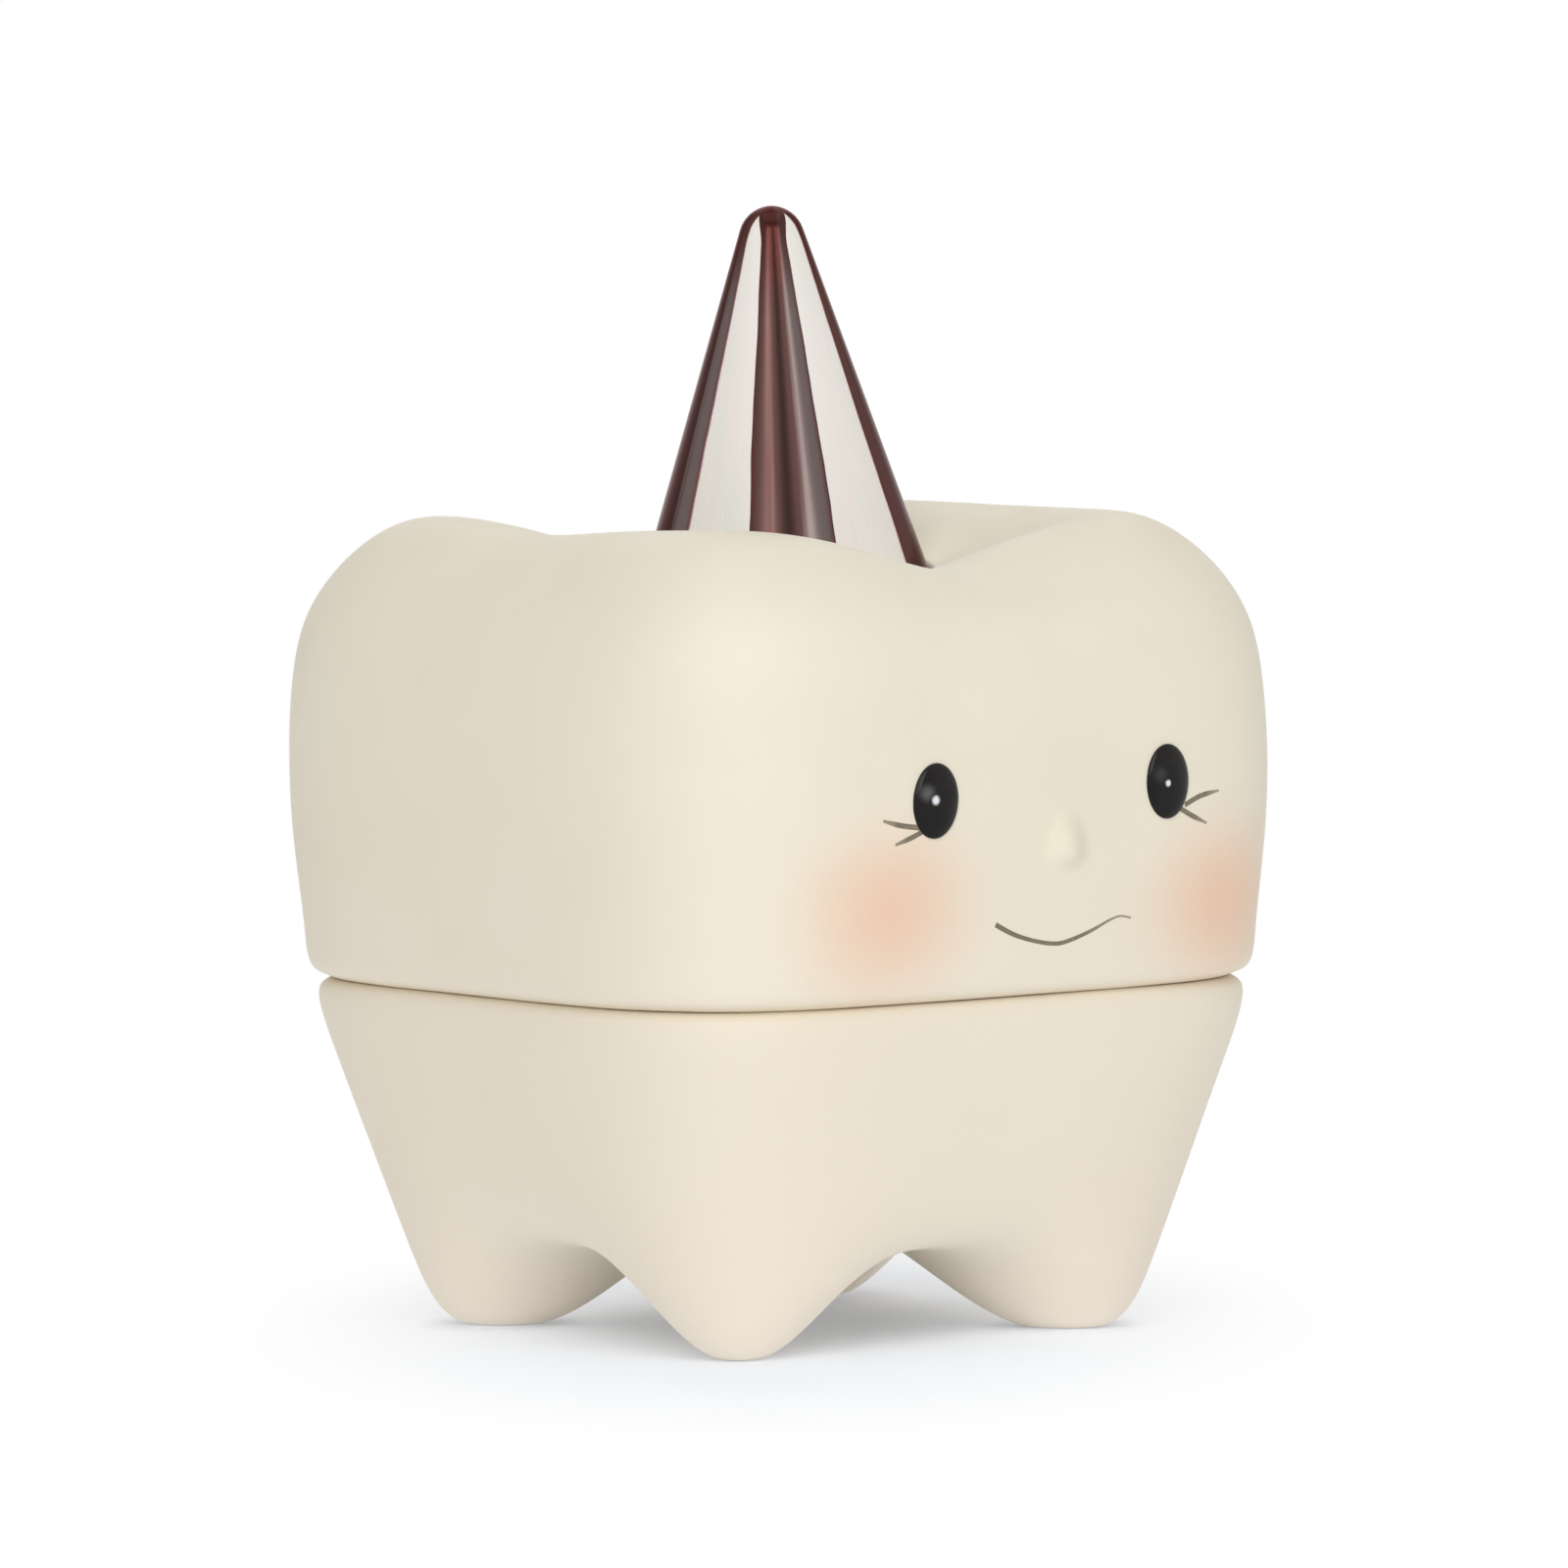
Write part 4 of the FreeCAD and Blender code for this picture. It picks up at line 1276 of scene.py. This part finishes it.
def make_floor(stage):
    """Wide pale floor that keeps the object's shadow and is white away from it."""
    half = FLOOR_REACH * stage.distance
    mesh = bpy.data.meshes.new("floor")
    corners = [(-half, -half, 0), (half, -half, 0), (half, half, 0), (-half, half, 0)]
    mesh.from_pydata(corners, [], [(0, 1, 2, 3)])
    floor = new_object("floor", mesh)
    material, shader, where = new_material("floor_paper")
    tree = where.tree
    seen = seen_directly(tree)
    feed(shader, {"Base Color": stage.floor, "Roughness": 0.9, "Specular IOR Level": 0.0})
    bounce = where.away_from().remap(stage.bounce_from, stage.bounce_to, 0.0, stage.bounce, smooth=True)
    shine = {"Color": stage.floor, "Strength": seen.remap(0.0, 1.0, bounce, stage.glow)}
    paper = {0: Wire(tree, shader.outputs[0]), 1: add(tree, "ShaderNodeEmission", shine)}
    near = add(tree, "ShaderNodeAddShader", paper)
    shine = {"Color": WHITE, "Strength": seen.remap(0.0, 1.0, stage.far_bounce, 1.0)}
    far = add(tree, "ShaderNodeEmission", shine)
    faced = add(tree, "ShaderNodeMapping", {"Vector": where, "Rotation": (0, 0, -stage.azimuth)})
    oval = faced.vector("DIVIDE", (1, stage.shadow_depth, 1))
    fade = oval.away_from().remap(stage.shadow_from, stage.shadow_to, smooth=True)
    contact = where.vector("ABSOLUTE").away_from((stage.foot, stage.foot, 0))
    clear = contact.remap(stage.contact_from, stage.contact_to, smooth=True)
    both = add(tree, "ShaderNodeMixShader", {0: fade * clear, 1: near, 2: far})
    feed(tree.nodes["Material Output"], {"Surface": both})
    mesh.materials.append(material)


def light_stage(stage):
    """White surroundings, a tall soft lamp on each side of the camera, and weak lamps above and behind."""
    world = bpy.data.worlds.new("studio")
    bpy.context.scene.world = world
    world.use_nodes = True
    tree = world.node_tree
    tree.nodes.clear()
    dim = add(tree, "ShaderNodeBackground", {"Color": stage.world_tint, "Strength": stage.world})
    white = add(tree, "ShaderNodeBackground", {"Color": WHITE, "Strength": 1.0})
    mix = add(tree, "ShaderNodeMixShader", {0: seen_directly(tree), 1: dim, 2: white})
    feed(tree.nodes.new("ShaderNodeOutputWorld"), {"Surface": mix})
    for name, turn, elevation, width, height in LAMPS:
        lamp = bpy.data.lights.new(name, "AREA")
        lamp.shape = "RECTANGLE"
        lamp.size, lamp.size_y = width, height
        lamp.energy = getattr(stage, name)
        item = new_object(name, lamp)
        back = direction(stage.azimuth + math.radians(turn), math.radians(elevation))
        item.location = Vector((0, 0, SEAM)) + back * LAMP_DISTANCE
        item.rotation_euler = back.to_track_quat("Z", "Y").to_euler()


def direction(azimuth, elevation):
    """Unit vector towards a direction: azimuth 0 is in front, elevation is over the level."""
    flat = math.cos(elevation)
    return Vector((math.sin(azimuth) * flat, -math.cos(azimuth) * flat, math.sin(elevation)))


def aim_camera(stage):
    """Camera at the photograph's place, turned so that its target shows at the photograph's pixel."""
    lens = bpy.data.cameras.new("camera")
    lens.sensor_width = SENSOR
    lens.lens = SENSOR * stage.focal_pixels / PHOTO_PIXELS
    camera = new_object("camera", lens)
    target = Vector((0, 0, stage.target))
    back = direction(stage.azimuth, stage.elevation)
    camera.location = target + back * stage.distance
    level = back.to_track_quat("Z", "Y").to_matrix()
    turned = level @ Matrix.Rotation(-stage.roll, 3, "Z")
    pixel = stage.distance / stage.focal_pixels
    right, up = turned.col[0], turned.col[1]
    middle = PHOTO_PIXELS / 2
    shift = right * (middle - stage.target_pixel[0]) + up * (stage.target_pixel[1] - middle)
    aim = (camera.location - (target + shift * pixel)).normalized()
    right = (right - aim * right.dot(aim)).normalized()
    axes = Matrix((right, aim.cross(right), aim)).transposed()
    camera.rotation_euler = axes.to_euler()
    bpy.context.scene.camera = camera


class TOOTHBOX_PT_panel(bpy.types.Panel):
    """The tooth box's pieces, in the order that they are made"""

    bl_label = "Tooth Box"
    bl_idname = "TOOTHBOX_PT_panel"
    bl_space_type = "VIEW_3D"
    bl_region_type = "UI"
    bl_category = "Tooth Box"

    def draw(self, context):
        for operator in OPERATORS:
            self.layout.operator(operator.bl_idname)


GROUPS = (ToothBody, ToothFace, PartyHat, ToothFinish, ToothStage, ToothBox)
OPERATORS = (
    TOOTHBOX_OT_base,
    TOOTHBOX_OT_crown,
    TOOTHBOX_OT_hat,
    TOOTHBOX_OT_eyes,
    TOOTHBOX_OT_lines,
    TOOTHBOX_OT_stage,
)


def register():
    for kind in GROUPS + OPERATORS + (TOOTHBOX_PT_panel,):
        bpy.utils.register_class(kind)
    bpy.types.Scene.tooth_box = PointerProperty(type=ToothBox)


def unregister():
    del bpy.types.Scene.tooth_box
    for kind in reversed(GROUPS + OPERATORS + (TOOTHBOX_PT_panel,)):
        bpy.utils.unregister_class(kind)


def main():
    register()
    bpy.ops.tooth_box.base()
    bpy.ops.tooth_box.crown()
    bpy.ops.tooth_box.hat()
    bpy.ops.tooth_box.eyes()
    bpy.ops.tooth_box.lines()
    bpy.ops.tooth_box.stage()


if __name__ == "__main__":
    main()
